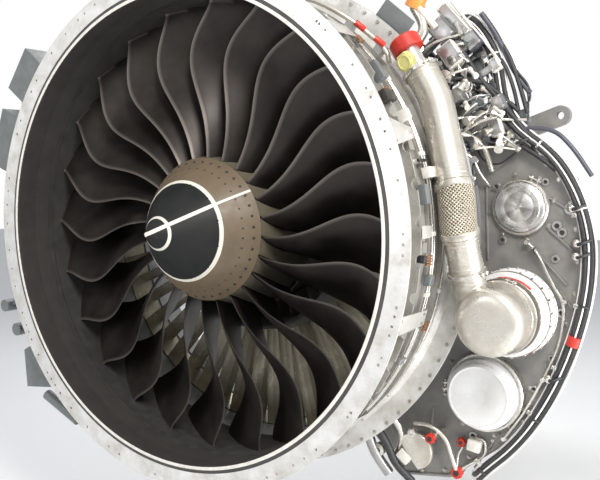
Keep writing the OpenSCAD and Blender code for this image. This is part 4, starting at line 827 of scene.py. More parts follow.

# %% Weave of the braid, with painted shade in its hollows
WIRES_ROUND, WIRES_ALONG = 30, 48
tree = braid_wire.node_tree
woven = add(tree, "Attribute", attribute_name="weave").outputs["Vector"]
part = add(tree, "SeparateXYZ", (0, woven)).outputs
turns = op(tree, "MULTIPLY", op(tree, "ARCTAN2", part["Z"], part["Y"]), WIRES_ROUND / (2 * math.pi))
steps_up = op(tree, "MULTIPLY", part["X"], WIRES_ALONG)
spiral_a, spiral_b = (op(tree, "SINE", op(tree, "MULTIPLY", op(tree, way, turns, steps_up), 2 * math.pi))
                      for way in ("ADD", "SUBTRACT"))
over = op(tree, "MAXIMUM", spiral_a, spiral_b)
under = op(tree, "MULTIPLY", spiral_a, spiral_b)
relief_from(tree, op(tree, "ADD", over, op(tree, "MULTIPLY", under, 0.6)), 1.0, 0.004)
# painted shade: the hollows between the crossing wires are darkened in the colour
repaint(tree, fade(tree, over, -0.1, 0.75), (0.10, 0.075, 0.05))
print("weave drawn")


# %% [markdown]
# Band clamps hold the duct sections together. Each is a thin channel-shaped strap with two raised
# edges, closed by a trunnion block and a long screw that stands off to one side.

# %% Band clamps
def band_clamp(at, axis, r, toward, width=24):
    """A strap round an axis with its closing block and screw on the side that faces a direction."""
    axis = Vector(axis).normalized()
    w = width / 2
    strap = turned(at, axis, [(r, -w), (r + 7, -w), (r + 8, -w + 4), (r + 5, -w + 6), (r + 5, w - 6),
                              (r + 8, w - 4), (r + 7, w), (r, w)], 96, solid=False)
    out = (Vector(toward) - axis * Vector(toward).dot(axis)).normalized()
    side = axis.cross(out)
    heart = Vector(at) + out * (r + 14) * MM
    swing = Matrix((side, axis, out)).transposed().to_4x4()
    parts = [strap]
    for step in (-17, 17):
        parts.append(placed(Matrix.Translation(heart + side * step * MM) @ swing, (9, width, 26), 2.5))
    parts.append(turned(heart + out * 0.002 - side * 0.032, side, [(4.5, 0), (4.5, 70)], 12))
    parts.append(turned(heart + out * 0.002 + side * 0.022, side, [(9, 0), (9, 9), (7, 11)], 6))
    return parts


bands = band_clamp(LOW, LOW_DIR, 105.5, (1, -0.35, 0)) + band_clamp(TOP, TOP_DIR, 106.5, (0.7, -0.7, 0.2))
bands += band_clamp(seat_on(709), BACK, 208.5, (0.3, 0, 1), 20)
straps = joined(bands, "band_clamp_set", bright_steel, stands_for=("duct_band_clamps",))
print("clamp faces", len(straps.data.polygons))

# %% [markdown]
# ## Starter
# Behind the elbow stands the air starter: a white barrel with flanges, brown containment bands with rivets,
# cooling slots drawn as thin black strips of painted shade, and strips of red tape. It is turned as one body,
# then riveted.

# %% Starter barrel
barrel = lathe(white_gloss, seat_on(710), BACK, [
    (190, 0), (198, 3), (198, 18), (204, 22), (204, 30), (198, 34), (198, 48), (216, 60), (218, 64),
    (218, 72), (221, 76), (221, 118), (250, 128), (252, 132), (252, 136), (248, 140), (248, 226), (258, 232),
    (262, 238), (262, 262), (256, 268), (234, 282), (204, 330), (208, 352), (212, 354), (212, 374)], 96)
brown_band = finish("brown_band", (0.16, 0.135, 0.11), (0.10, 0.085, 0.07), 0.3, (0.4, 0.6), 14, 0.6)
bands = [lathe(brown_band, seat_on(760), BACK,
               [(218.4, 2), (220.6, 3), (222.4, 6), (222.4, 18), (221.4, 22)], 96),
         lathe(brown_band, seat_on(838), BACK, [(253, 3), (254.5, 5), (254.5, 22), (250, 26), (249, 12)], 96),
         lathe(red_plastic, seat_on(864), BACK, [(248.8, 0), (250.6, 1), (250.6, 9), (248.8, 10)], 96,
               solid=False)]


def round_starter(y, reach, angles):
    """Spots on the barrel that face outward, for copies."""
    return [(seat_on(y) + outward(a) * reach * MM, outward(a), 0) for a in angles]


heads = fixed(rivet, round_starter(770, 222, range(0, 360, 10)), bright_steel)
heads += fixed(rivet, round_starter(851, 254, [7.5 * k for k in range(48)]), bright_steel)
heads += fixed(bolt_small, round_starter(948.3, 261, range(0, 360, 12)), bright_steel)


def strip_on(a, y, reach, size, bevel, mat):
    """A small block that lies on the barrel at an angle. size: outward, along, round."""
    return painted(placed(at_angle(seat_on(y) + outward(a) * reach * MM, a), size, bevel), mat)


# the cooling slots are black strips on the barrel: painted shade standing for their dark openings
slot_shade_strips = [strip_on(18 * k + 5, 900, 247, (4, 46, 12), 1.5, harness_sleeve) for k in range(20)]
tape_patch = [strip_on(a, y, 222.2, (4, 36, 37), 1, red_plastic)
              for a, y in ((52, 807), (61, 807), (70, 805), (79, 803), (88, 803), (97, 804))]
tape_patch += [strip_on(a, 858, 254.8, (4, 16, 37), 1, red_plastic) for a in (-44, -53, -62)]
starter = joined([barrel, *tape_patch, *bands, *heads, *slot_shade_strips], "starter_barrel", None,
                 stands_for=("air_starter",))
print("starter faces", len(starter.data.polygons))

# %% [markdown]
# ## Covers on the gearbox
# The upper pad is closed by a spun metal lid, whose sheen of light and dark sectors fanning out from its
# middle is painted into its colour, and the lower one by a white shipping cover. Both are held by a clamp
# ring with a screw lug.

# %% Spun lid
PAD_Y = 1084
UPPER = polar(1838, 5, 0)
LOWER = polar(1922, -31.5, 0)


def on_pad(centre, y):
    """A point on a pad's axis."""
    return Vector((centre.x, y * MM, centre.z))


lid = turned(on_pad(UPPER, PAD_Y), FRONT, [
    (155, 0.3), (155, 12), (150, 20), (143, 24), (130, 26), (126, 27), (122, 31), (96, 33), (92, 31),
    (88, 31),
    (84, 33), (30, 34), (26, 32), (16, 32)], 96)
lid = joined([lid], "upper_lid", cover_polished, stands_for=("upper_pad_cover",))
white_lid = turned(on_pad(LOWER, PAD_Y), FRONT, [
    (232, 0.3), (232, 22), (226, 26), (220, 30), (220, 90), (212, 98), (202, 108), (202, 136), (194, 146),
    (186, 150), (180, 146), (172, 144), (60, 144), (56, 142), (20, 142)], 128)
white_lid = joined([white_lid], "lower_lid", white_gloss, stands_for=("lower_pad_cover",))
print("lids", len(lid.data.polygons), len(white_lid.data.polygons))

# %% Painted radial sheen and fine grooves of the spun lid
GROOVE = 0.0022
tree = cover_polished.node_tree
x, _, z = axes(tree)
dx, dz = op(tree, "SUBTRACT", x, UPPER.x), op(tree, "SUBTRACT", z, UPPER.z)
around_lid = op(tree, "ARCTAN2", dz, dx)
far = op(tree, "SQRT", weighed(tree, dx, dz, dx, dz))
wander = op(tree, "SINE", op(tree, "MULTIPLY", around_lid, 5))
painted_sheen = op(tree, "SINE", op(tree, "ADD", op(tree, "MULTIPLY", around_lid, 3), wander))
# painted sheen: darker sectors fanning out round the middle stand for the lid's reflections
repaint(tree, fade(tree, painted_sheen, -1, 1), (0.46, 0.45, 0.44))
relief_from(tree, op(tree, "SINE", op(tree, "MULTIPLY", far, 2 * math.pi / GROOVE)), 0.25, 0.0005)
print("sheen made")


# %% Clamp rings
def pad_clamp(centre, r, y0, lug_angle):
    """A ring round a lid with a two-part lug and its screw at an angle in degrees."""
    parts = [turned(on_pad(centre, PAD_Y - y0), BACK,
                    [(r + 0.4, 0), (r + 11, 0), (r + 16, 5), (r + 16, y0 - 1),
                                                       (r + 0.4, y0 - 1), (r + 0.4, 0)], 128, solid=False)]
    out, side = outward(lug_angle), outward(lug_angle + 90)
    heart = on_pad(centre, PAD_Y - y0 / 2) + out * (r + 30) * MM
    for step in (-20, 20):
        parts.append(placed(at_angle(heart + side * step * MM, lug_angle), (38, y0 * 0.7, 14), 3))
    parts.append(turned(heart + out * 0.004 - side * 0.040, side, [(6, 0), (6, 84)], 12))
    parts.append(turned(heart + out * 0.004 + side * 0.027, side, [(11, 0), (11, 11), (8, 13)], 6))
    return parts


rings = pad_clamp(UPPER, 155, 16, 62) + pad_clamp(LOWER, 232, 42, 178)
rings = joined(rings, "pad_clamp_set", bright_steel, stands_for=("pad_clamp_rings",))
print("clamp rings", len(rings.data.polygons))

# %% [markdown]
# ## Gearbox front
# The casting keeps its CAD form. On its face stand the things a foundry and a fitter leave there:
# a raised rim, ribs between the pads, machined bosses with a bright washer face, plugs, studs and
# rows of bolts along the split line.

# %% Rim and ribs
FACE, INNER_EDGE = 1100, 1580
RIM = [(20, 0), (20, 260), (15, 430), (9, 560), (1, 640), (-8, 670), (-19, 650), (-30, 650), (-38, 620),
       (-49, 560), (-57, 400), (-60, 0)]


def face_spot(off, angle, y=FACE):
    """A point on the gearbox's front: height above its inner edge, and angle about the shaft."""
    return polar(INNER_EDGE + off, angle, y)


rim_line = [face_spot(off - 16, a, FACE - 4) for a, off in RIM[1:-1]]
rim_bead = tube(rim_line, 11, 12)
ribs = []
for (o0, a0), (o1, a1) in [
        ((400, 7), (540, 4)), ((420, 1), (600, -3)), ((330, -2.5), (560, -8)), ((60, 10), (60, -6)),
        ((520, -9), (640, -12)), ((560, -21), (640, -24)), ((90, -22), (110, -26)), ((560, -36), (600, -44)),
        ((150, -42), (420, -52))]:
    p, q = face_spot(o0, a0), face_spot(o1, a1)
    run, mid = q - p, (p + q) / 2 - spot(0, 4, 0)
    ribs.append(placed(at_angle(mid, math.degrees(math.atan2(run.z, run.x))), (run.length / MM, 18, 13), 4))
cast_parts = joined([rim_bead, *ribs], "gearbox_ribs", gearbox_cast)
print("rim and ribs", len(cast_parts.data.polygons))

# %% Bosses and studs
boss_spots = [(470, 1.5, 30), (500, 0.4, 30), (548, 4.2, 34), (140, -1.5, 26), (120, 9.5, 26), (420, 9, 24),
              (470, -4, 24), (560, -12.5, 28), (590, -20, 22), (575, -26, 22), (120, -24, 24), (450, -40, 26)]
bosses = []
for off, a, r in boss_spots:
    at = face_spot(off, a)
    bosses += [lathe(mount_steel, at, FRONT, [(r, 0), (r, 9), (r - 2, 11), (r * 0.52, 11), (r * 0.45, 6),
                                              (r * 0.45, 2)], 40),
               lathe(track_rubber, at, FRONT, [(r * 0.44, 1), (r * 0.44, 4)], 24)]
studs = fixed(bolt_large, [(face_spot(off - 40, a), FRONT, 13 * k) for k, (a, off) in enumerate([
    (18, 240), (17, 330), (14.5, 420), (12, 480), (9, 540), (5, 590), (1, 620), (-4, 640), (-9, 650),
    (-14, 640), (-19, 630), (-24.5, 630), (-30, 630), (-34, 615), (-38, 600), (-43.5, 570), (-49, 540),
    (-53, 470), (-56.5, 390)])])
studs += fixed(bolt_large, [(on_pad(centre, FACE) + outward(a) * reach, FRONT, 0)
                            for centre, reach in ((UPPER, 0.202), (LOWER, 0.282))
                            for a in range(12, 372, 45)])
fronts = joined([*bosses, *studs], "gearbox_bosses", None)
print("bosses and studs", len(fronts.data.polygons))

# %% [markdown]
# ## Outside of the fan case
# Between the front flange and the duct the case carries folded brackets, banjo blocks of a copper
# colour, thin pipes in white clips, and rows of bolts. They are small, but they are what makes the
# surface read as an engine and not as a drum.

# %% Darker metal between the flanges
tree = case_paint.node_tree
repaint(tree, band(tree, axes(tree)["Y"], 0.32, 0.27, 0.02), (0.55, 0.54, 0.52), "MULTIPLY")
plate_alloy = finish("plate_alloy", (0.60, 0.59, 0.56), (0.40, 0.38, 0.33), 0.45, (0.3, 0.5), 9, 0.6)
print("case shaded")


# %% Places on the case
def on_case(a, r, y):
    """A matrix at a place on the case: x outward, y along the shaft, z round it."""
    return at_angle(polar(r, a, y), a)


def case_block(a, r, y, size, bevel=2.0, tilt=0.0):
    """A rounded block on the case. size: outward, along the shaft, round it; tilt in degrees."""
    return placed(on_case(a, r, y) @ Matrix.Rotation(math.radians(tilt), 4, "X"), size, bevel)


print("a place on the case:", [round(v, 3) for v in on_case(0, 1575, 200).translation])


# %% Folded brackets
def folded_plate(a, r, y0, y1, width, taper):
    """A sheet along the case: a thin block whose far edge narrows, with a folded lip."""
    deselect()
    bpy.ops.mesh.primitive_cube_add(size=1)
    sheet = bpy.context.object
    sheet.scale = (3 * MM, (y1 - y0) * MM, width * MM)
    bpy.ops.object.transform_apply(scale=True)
    far = (y1 - y0) / 2 * MM
    pick(sheet, lambda p: p.y > far * 0.9)
    bpy.ops.transform.resize(value=(1, 1, taper))
    bpy.ops.mesh.extrude_region_move(TRANSFORM_OT_translate={"value": (-0.026, 0.004, 0)})
    bpy.ops.object.mode_set(mode="OBJECT")
    rounded(sheet, 1.2)
    sheet.matrix_world = on_case(a, r, (y0 + y1) / 2)
    return settle(sheet)


plates = [folded_plate(-16, 1590, 24, 390, 112, 0.8), folded_plate(21.5, 1592, 16, 300, 170, 0.35),
          folded_plate(-41, 1588, 16, 300, 90, 0.9), folded_plate(47, 1590, 16, 320, 120, 0.8),
          folded_plate(1.8, 1586, 210, 330, 70, 0.9)]
for plate in plates:
    painted(plate, plate_alloy)
plate_bolts = fixed(bolt_small, [(polar(1591.5, a, y), polar(1, a, 0), 0) for a, y in
                                  [(-14.8, 60), (-17.2, 60), (-15, 350), (-17, 350), (19.5, 60), (23.5, 60),
                                   (21.5, 270), (-40, 70), (-42, 70), (-41, 270), (46, 70), (48, 70)]])
print("brackets", len(plates), "with bolts", len(plate_bolts))

# %% Blocks and boxes on the case
copper = finish("copper_block", (0.42, 0.22, 0.13), (0.25, 0.13, 0.08), 0.7, (0.35, 0.55), 18, 0.6)
fittings = []
for a, y in [(-18, 450), (31.6, 230), (-3.2, 300), (47, 370)]:
    for k in range(4):
        fittings.append(lathe(copper, polar(1575, a - 0.55 * k, y), BACK,
                              [(6, 0), (7, 2), (7, 60), (6, 62)], 12))
    fittings.append(painted(case_block(a - 0.8, 1562, y + 30, (16, 40, 70)), bright_steel))
fittings.append(lathe(dark_screw, polar(1562, 16.2, 330), BACK, [(7, 0), (9, 2), (9, 92), (7, 94)], 12))
for a, r, y, size, bevel, mat in [
        (29.5, 1570, 205, (60, 110, 66), 5, dark_screw), (25.3, 1572, 285, (96, 44, 60), 5, clip_white),
        (16.2, 1538, 375, (40, 26, 30), 3, bright_steel), (36.2, 1560, 300, (70, 60, 120), 4, box_paint),
        (-8.6, 1552, 420, (40, 60, 60), 4, box_paint), (-26, 1556, 330, (50, 70, 40), 4, mount_steel),
        (-3.6, 1566, 260, (46, 40, 40), 4, harness_sleeve), (9.2, 1560, 330, (50, 60, 110), 5, box_paint),
        (13.6, 1566, 450, (50, 130, 60), 5, clip_white)]:
    fittings.append(painted(case_block(a, r, y, size, bevel), mat))
trim = joined([*plates, *plate_bolts, *fittings], "case_trim", None)
print("case trim", len(trim.data.polygons))


# %% [markdown]
# Thin pipes run round the case in three lines. Each is one smooth tube, and white clips with a
# rolled loop hold it at even steps.

# %% Pipes, loops and clips
def arc(r, y, a0, a1, steps=60):
    """Points along an arc round the case."""
    return [polar(r, a0 + (a1 - a0) * k / steps, y) for k in range(steps + 1)]


PIPE_R = 1536.3
pipes = []
for y, a0, a1 in [(450, -70, 62), (480, -66, 58), (640, -40, 24)]:
    pipes.append(tube(arc(PIPE_R, y, a0, a1), 9))
    for a in (a0, a1):
        pipes.append(turned(polar(1519.5, a, y), outward(a),
                            [(11, 0), (13, 2), (13, 26), (11, 28), (11, 30)], 20))
        pipes.append(turned(polar(1549.4, a, y), outward(a), [(10, 0), (10, -2), (9, 0)], 6))
pipes = joined(pipes, "case_pipe_set", bright_steel, stands_for=("case_pipes",))


def clip(a, y):
    """The rolled loop of a clip round a pipe."""
    side = outward(a + 90)
    return turned(polar(PIPE_R, a, y) - side * 0.012, side,
                  [(9.2, 0), (12.5, 0), (12.5, 24), (9.2, 24), (9.2, 0)], 20, solid=False)


clips = []
for a in (52, 36, 18, 1, -12, -28, -46, -60):
    clips += [case_block(a, 1526.5, 465, (16, 60, 24), 2.5), clip(a, 450), clip(a, 480)]
for a in (18, 1, -12, -28):
    clips += [case_block(a, 1524.5, 648, (11, 34, 24), 2.5), clip(a, 640)]
clips = joined(clips, "pipe_clip_set", clip_white, stands_for=("pipe_clips",))
print("pipes and clips", len(pipes.data.polygons), len(clips.data.polygons))

# %% Ears of the scalloped flange, and the lip bead with its painted highlight
ears = []
for k in range(48):
    a = 7.5 * k
    ears.append(turned(polar(1560, a, 205), FRONT, [(13, 0), (13, 3), (7.5, 3), (6.6, 1)], 16))
ears = joined(ears, "scallop_washers", case_paint)
# lip bead: a rolled lip finished white, so its bright line along the intake is a painted highlight
lip_bead_painted_highlight = turned(spot(0, -3.8, 0), FRONT, [(1476, -1), (1476, 1), (1472, 3), (1462, 4), (1456, 2),
                                            (1455, -1), (1476, -1)], 192, solid=False)
lip_bead_painted_highlight = joined([lip_bead_painted_highlight], "lip_bead_painted_highlight", clip_white)
print("ears", len(ears.data.polygons))

# %% [markdown]
# ## Wiring and small tubes
# The harness that follows the gearbox's rim is a bundle of black sleeved cables with thin white
# wires beside them. Ties hold it together, and short arms clip it to the rim.

# %% Harness route
LOOM_Y = 1055
LOOM = [(150, 45.5, 1170), (330, 43.5, 1100), (426, 40.6), (412, 32.5), (315, 24.3), (335, 19.3),
        (495, 13.6), (580, 8.5), (640, 3.2), (680, -2.6), (700, -10.6), (690, -20.9), (690, -29.4),
        (680, -36), (650, -42.2), (660, -45, 1110), (655, -46.5, 1230)]


def smooth(points, times=3):
    """Corner cutting: a soft line through the places of a rough one, with its ends kept."""
    for _ in range(times):
        cut = [points[0]]
        for p, q in zip(points, points[1:]):
            cut += [p * 0.75 + q * 0.25, p * 0.25 + q * 0.75]
        points = cut + [points[-1]]
    return points


def hoses(routes, place=polar):
    """Soft painted tubes. routes: (rough points given to place, radius, finish)."""
    return [painted(tube(smooth([place(*p) for p in points]), r), mat) for points, r, mat in routes]


def loom_line(off, forward, sway=0.0, seed=0):
    """The route moved outward and forward by so many millimetres, with a slight sway."""
    rng = random.Random(seed)
    rough = []
    for h, a, *y in LOOM:
        out = h + off + rng.uniform(-sway, sway)
        rough.append(face_spot(out, a, (y[0] if y else LOOM_Y) - forward + rng.uniform(-sway, sway)))
    return smooth(rough)


print("harness route:", len(LOOM), "rough places,", len(loom_line(0, 0)), "soft ones")

# %% Harness
harness = [painted(tube(loom_line(off, fwd), r), harness_sleeve)
           for off, fwd, r in ((14, 0, 17), (-24, 8, 15), (-6, -24, 12))]
white_wire = finish("white_wire", (0.80, 0.79, 0.76), (0.6, 0.58, 0.53), 0.0, (0.35, 0.5), 30, 0.4)
for seed, (off, fwd, r) in enumerate(((-4, 19, 6), (38, 6, 7), (-46, 4, 4))):
    harness.append(painted(tube(loom_line(off, fwd, 5, seed), r, 8), white_wire))
mid_line = loom_line(-5, 0)


def run_at(k):
    """The direction of the bundle at a point of its middle line."""
    return (mid_line[k + 1] - mid_line[k]).normalized()


rng = random.Random(12)
k = 5
while k < len(mid_line) - 4:
    harness.append(lathe(rng.choice((harness_sleeve, harness_sleeve, bright_steel, clip_white)),
                         mid_line[k] - run_at(k) * 0.006, run_at(k),
                         [(33, 0), (35, 2), (35, 9), (33, 11)], 20))
    k += rng.choice((9, 13, 17))
for angle, r in ((13.6, 2075), (3.2, 2220), (-10.6, 2280), (-20.9, 2270), (-29.4, 2270), (-42.2, 2220)):
    harness += [painted(case_block(angle, r - 38, LOOM_Y, (76, 14, 26), 3), bright_steel),
                painted(case_block(angle, r - 62, 1078, (26, 42, 26), 3), bright_steel),
                *fixed(bolt_small, [(polar(r - 62, angle, 1047), FRONT, 0)])]
tape_at = min(range(len(mid_line)), key=lambda k: (mid_line[k] - polar(2280, -15.3, LOOM_Y)).length)
harness.append(lathe(red_plastic, mid_line[tape_at], run_at(tape_at),
                     [(38, 0), (40, 2), (40, 58), (38, 60)], 20))
for a, off, y in ((-1, 588, 1070), (-3, 590, 1062), (4.4, 560, 1070), (17, 300, 1066), (-23, 620, 1070)):
    at = face_spot(off, a, y)
    harness.append(lathe(bright_steel, at, (0.5, -1, -0.2), [
        (19, -30), (19, 8), (23, 9), (23, 24), (20, 27), (20, 40), (15, 44)], 18))
    lead = [at + spot(20, -40, -10), at + spot(50, -60, 0), at + spot(90, -30, 20)]
    harness.append(painted(tube(smooth(lead), 9, 10), harness_sleeve))
harness = joined(harness, "harness_bundle", None, stands_for=("wiring_harness",))
print("harness", len(harness.data.polygons))

# %% Drain tube and short pipes on the gearbox
drain = [face_spot(h, a, 1066) for h, a in ((300, -1.5), (365, -2.9), (495, -8.7), (570, -10.5), (612, -16.6),
                                            (600, -23.7), (606, -29.7), (600, -36))]
drain_parts = [tube(smooth(drain, 2), 9)]
for k in (0, 3, 5, 7):
    drain_parts.append(turned(drain[k], BACK, [(14, -12), (16, -8), (16, 33)], 6))
for k in (0.70, 0.84):
    drain_parts.append(turned(drain[0].lerp(drain[1], k), drain[1] - drain[0], [(15, -10), (15, 10)], 6))
drain_pipe = joined(drain_parts, "drain_pipe", bright_steel, stands_for=("drain_tube",))
print("drain", len(drain_pipe.data.polygons))

# %% [markdown]
# Above the gearbox, on the rear fan case, sits a crowd of valves, hoses and junction boxes. Their
# inner workings can't be seen, so they are given as plausible bodies with the right sizes and
# colours, each on its own foot on the case.

# %% Crowd above the gearbox
CASE_R = 1494


def foot(a, r, y, long, wide):
    """The support of a fitting, from the rear case out to a radius."""
    return painted(case_block(a, (CASE_R + r) / 2, y, (r - CASE_R, long, wide), 3), mount_steel)


def canister(a, r, y, radius, length, mat):
    """A small round valve body with two bands and its foot."""
    body = lathe(mat, polar(r, a, y), BACK, [
        (radius * 0.8, 0), (radius, 4), (radius, length * 0.3), (radius * 1.1, length * 0.32),
        (radius * 1.1, length * 0.4), (radius * 0.96, length * 0.42), (radius * 0.96, length - 5),
        (radius * 0.8, length)], 28)
    return [body, foot(a, r, y + length * 0.3, 26, 34)]


crowd = []
for row in [(30, 1770, 900, 34, 130, bright_steel), (26.5, 1740, 960, 40, 120, box_paint),
            (23.5, 1690, 890, 28, 150, duct_cream), (28, 1880, 1010, 30, 120, harness_sleeve),
            (22.0, 1800, 1000, 36, 80, bright_steel), (33.5, 1700, 870, 44, 140, bright_steel),
            (18.5, 1690, 880, 30, 170, duct_cream), (35.5, 1900, 1080, 34, 90, box_paint)]:
    crowd += canister(*row)
crowd += hoses([
    ([(1560, 34, 880), (1720, 33, 900), (1850, 30, 980), (1900, 26, 1040),
      (1960, 22, 1050)], 16, harness_sleeve),
    ([(1540, 30, 900), (1660, 29, 930), (1780, 26, 1000), (1840, 22, 1030),
      (1870, 18.5, 1040)], 20, harness_sleeve),
    ([(1520, 26, 860), (1640, 25, 880), (1760, 23.4, 960), (1900, 21, 1030),
      (1990, 20, 1050)], 10, bright_steel),
    ([(1560, 22, 860), (1660, 21, 860), (1730, 18.5, 930), (1700, 15, 1050),
      (1690, 13, 1090)], 18, duct_cream),
    ([(1900, 38, 1120), (1960, 36, 1080), (2010, 31, 1040), (1990, 26, 1040),
      (1960, 22, 1050)], 12, harness_sleeve),
    ([(1900, 39, 1120), (2010, 38, 1080), (2060, 33, 1040), (2040, 28, 1040),
      (2005, 21, 1050)], 14, harness_sleeve),
    ([(1800, 42, 1180), (1880, 38, 1140), (1900, 33, 1080), (1860, 28, 1040),
      (1800, 24, 1020)], 9, bright_steel),
    ([(1520, 19, 850), (1600, 18, 850), (1650, 16.5, 930), (1640, 13, 1000),
      (1660, 10, 1085)], 9, bright_steel),
])
print("valves and hoses", len(crowd))

# %% [markdown]
# At the very top stand boxes with screwed lids, a pipe under an orange cap, two straps, and a pipe
# with red tape that comes round from the top of the case.


# %% Boxes, capped pipes and straps at the top
def shell_box(a, r, y, size, mat):
    """A housing on the rear case with a lid, four screws and its foot."""
    half, front, corner = size[0] / 2 - 12, -(size[1] / 2 + 4), on_case(a, r, y)
    screws = [(corner @ (Vector((u * half, front, v * (size[2] / 2 - 12))) * MM), FRONT, 0)
              for u in (-1, 1) for v in (-1, 1)]
    lid = case_block(a, r, y - size[1] / 2 - 2, (size[0] - 14, 5, size[2] - 14), 2)
    return [painted(case_block(a, r, y, size, 5), mat), painted(lid, mount_steel), foot(a, r, y, 30, 40),
            *fixed(bolt_small, screws)]


for row in [(41.7, 1840, 950, (116, 90, 150), box_paint), (42.0, 1925, 1000, (74, 60, 260), clip_white),
            (37.0, 1934, 1000, (92, 64, 110), blue_paint), (36.6, 1800, 930, (110, 110, 150), clip_white),
            (29.0, 1700, 900, (90, 90, 80), mount_steel), (24.5, 1880, 1010, (80, 70, 90), box_paint),
            (31.0, 1960, 1020, (60, 60, 80), clip_white), (20.5, 1820, 990, (70, 60, 110), clip_white)]:
    crowd += shell_box(*row)
print("with the boxes", len(crowd))

# %% Capped pipe, straps and hoses
crowd.append(painted(case_block(50, 1700, 838, (150, 8, 250), 3), box_paint))
crowd.append(lathe(orange_plastic, polar(1820, 49, 900), polar(1, 62, 0), [
    (52, 0), (62, 4), (62, 40), (56, 46), (56, 110), (50, 116)], 32))
crowd += hoses([
    ([(1500, 43, 880), (1700, 43.5, 890), (1796, 44.5, 900), (1835, 49, 900)], 36, duct_cream),
    ([(2068, 39.7, 1000), (2060, 36, 1030), (2041, 32.5, 1050), (2030, 28, 1055),
      (2060, 24, 1055)], 16, blue_paint),
    ([(2090, 39, 1000), (2080, 35, 1030), (2062, 31, 1050), (2045, 28, 1055)], 7, clip_white),
    ([(2030, 30, 1055), (2046, 28.2, 1040), (2075, 25.2, 1045), (2050, 22.8, 1050),
      (2010, 22.6, 1055)], 7, harness_sleeve),
    ([(1530, 66, 300), (1600, 60, 330), (1625, 50.5, 379), (1622, 42, 519),
      (1560, 40.5, 600)], 15, duct_cream),
    ([(1940, 19, 1050), (2117, 17.2, 1050), (2200, 13.5, 1050), (2277, 8.8, 1050)], 13, blue_paint),
    ([(1860, 36, 940), (1850, 30, 980), (1900, 24, 1020), (1960, 18, 1050),
      (1990, 14, 1060)], 15, harness_sleeve),
])
run = polar(1622, 42, 519) - polar(1625, 50.5, 379)
for a, y in ((48, 420), (43.6, 492)):
    crowd.append(lathe(red_plastic, polar(1624, a, y), run, [(17, -36), (18, -34), (18, 34), (17, 36)], 16))
crowd += hoses([
    ([(1568, 1040, 772), (1560, 1050, 689), (1552, 1060, 567), (1572, 1062, 475), (1624, 1062, 426),
      (1706, 1062, 413), (1799, 1058, 484), (1878, 1052, 536)], 6, harness_sleeve),
    ([(1601, 1040, 735), (1656, 1050, 637), (1738, 1052, 563), (1843, 1050, 525), (1952, 1048, 459),
      (2046, 1052, 382)], 14, harness_sleeve),
    ([(1805, 1040, 973), (1858, 1050, 889), (1877, 1052, 794), (1875, 1050, 677)], 5, harness_sleeve),
    ([(1528, 1000, 1024), (1557, 1030, 905), (1588, 1040, 759)], 8, harness_sleeve),
    ([(1557, 990, 1008), (1586, 1020, 902), (1608, 1036, 782)], 4, clip_white),
    ([(1228, 880, 1381), (1284, 890, 1317), (1346, 900, 1241)], 22, clip_white),
    ([(1422, 960, 1397), (1518, 980, 1271), (1610, 1010, 1161), (1704, 1030, 1026)], 9, clip_white),
    ([(1426, 900, 1091), (1505, 930, 982), (1547, 960, 851), (1559, 1000, 734)], 12, bright_steel),
], spot)
crowd += [painted(block(spot(1714, 1078, 636), (250, 14, 120), (0, 41, 0), 4), mount_steel),
          painted(block(spot(1488, 1000, 706), (120, 34, 52), (0, -14, 0), 5), duct_cream)]
print("with the straps", len(crowd))

# %% Small fittings between them
rng = random.Random(77)
for k in range(30):
    a, r, y = rng.uniform(17, 45), rng.uniform(1600, 1990), rng.uniform(1060, 1130)
    if (r - INNER_EDGE) * 0.011 + a < 19:  # would stand in front of the upper cover
        continue
    size = (rng.uniform(40, 100), rng.uniform(40, 70), rng.uniform(50, 120))
    dark = case_block(a, r, y, size, 6, rng.uniform(-30, 30))
    crowd.append(painted(dark, rng.choice((harness_sleeve, dark_screw, mount_steel, gearbox_cast, box_paint,
                                           blue_paint))))
rng = random.Random(31)
coats = (bright_steel, mount_steel, box_paint, harness_sleeve, duct_cream, clip_white, bright_steel)
last = None
for k in range(44):
    a, r, y = 14 + 28 * k / 44 + rng.uniform(-2, 2), rng.uniform(1580, 1960), rng.uniform(860, 1050)
    at = polar(r, a, y)
    way = Vector((rng.uniform(-1, 1), rng.uniform(-1.5, -0.2), rng.uniform(-1, 1)))
    w = rng.uniform(13, 26)
    crowd.append(lathe(coats[k % 7], at, way, [(w, 0), (w, 18), (w * 0.7, 22), (w * 0.7, 60), (w * 1.1, 62),
                                               (w * 1.1, 82)], 12))
    if last:
        mid = (last + at) / 2 + Vector((0, -0.03, 0.02))
        crowd.append(painted(tube(smooth([last, mid, at]), rng.uniform(5, 11), 8), coats[k * 3 % 7]))
    last = at
crowd = joined(crowd, "upper_plumbing", None)
print("crowd", len(crowd.data.polygons))

# %% [markdown]
# Every open end on a new engine is closed by a bright plastic cap. The one on top of the duct is a
# broad red cup, the side branch has a yellow hexagonal plug, and three small ones with a ribbed grip
# stand below the white cover, beside the flap valve with its half-round plate.

# %% Caps and plug
SIDE = Vector((-0.15, -1, -0.25)).normalized()
plug_seat = TOP + 0.0843 * TOP_DIR + 0.0743 * SIDE
caps = [lathe(red_plastic, TOP + 0.161 * TOP_DIR, TOP_DIR,
              [(90, -14), (94, -10), (94, 58), (88, 66), (84, 70)]),
        lathe(yellow_plastic, plug_seat, SIDE, [(62, -10), (62, 26), (56, 32)], 6),
        lathe(yellow_plastic, plug_seat, SIDE, [(44, 30), (44, 36), (38, 38), (36, 34)], 32)]


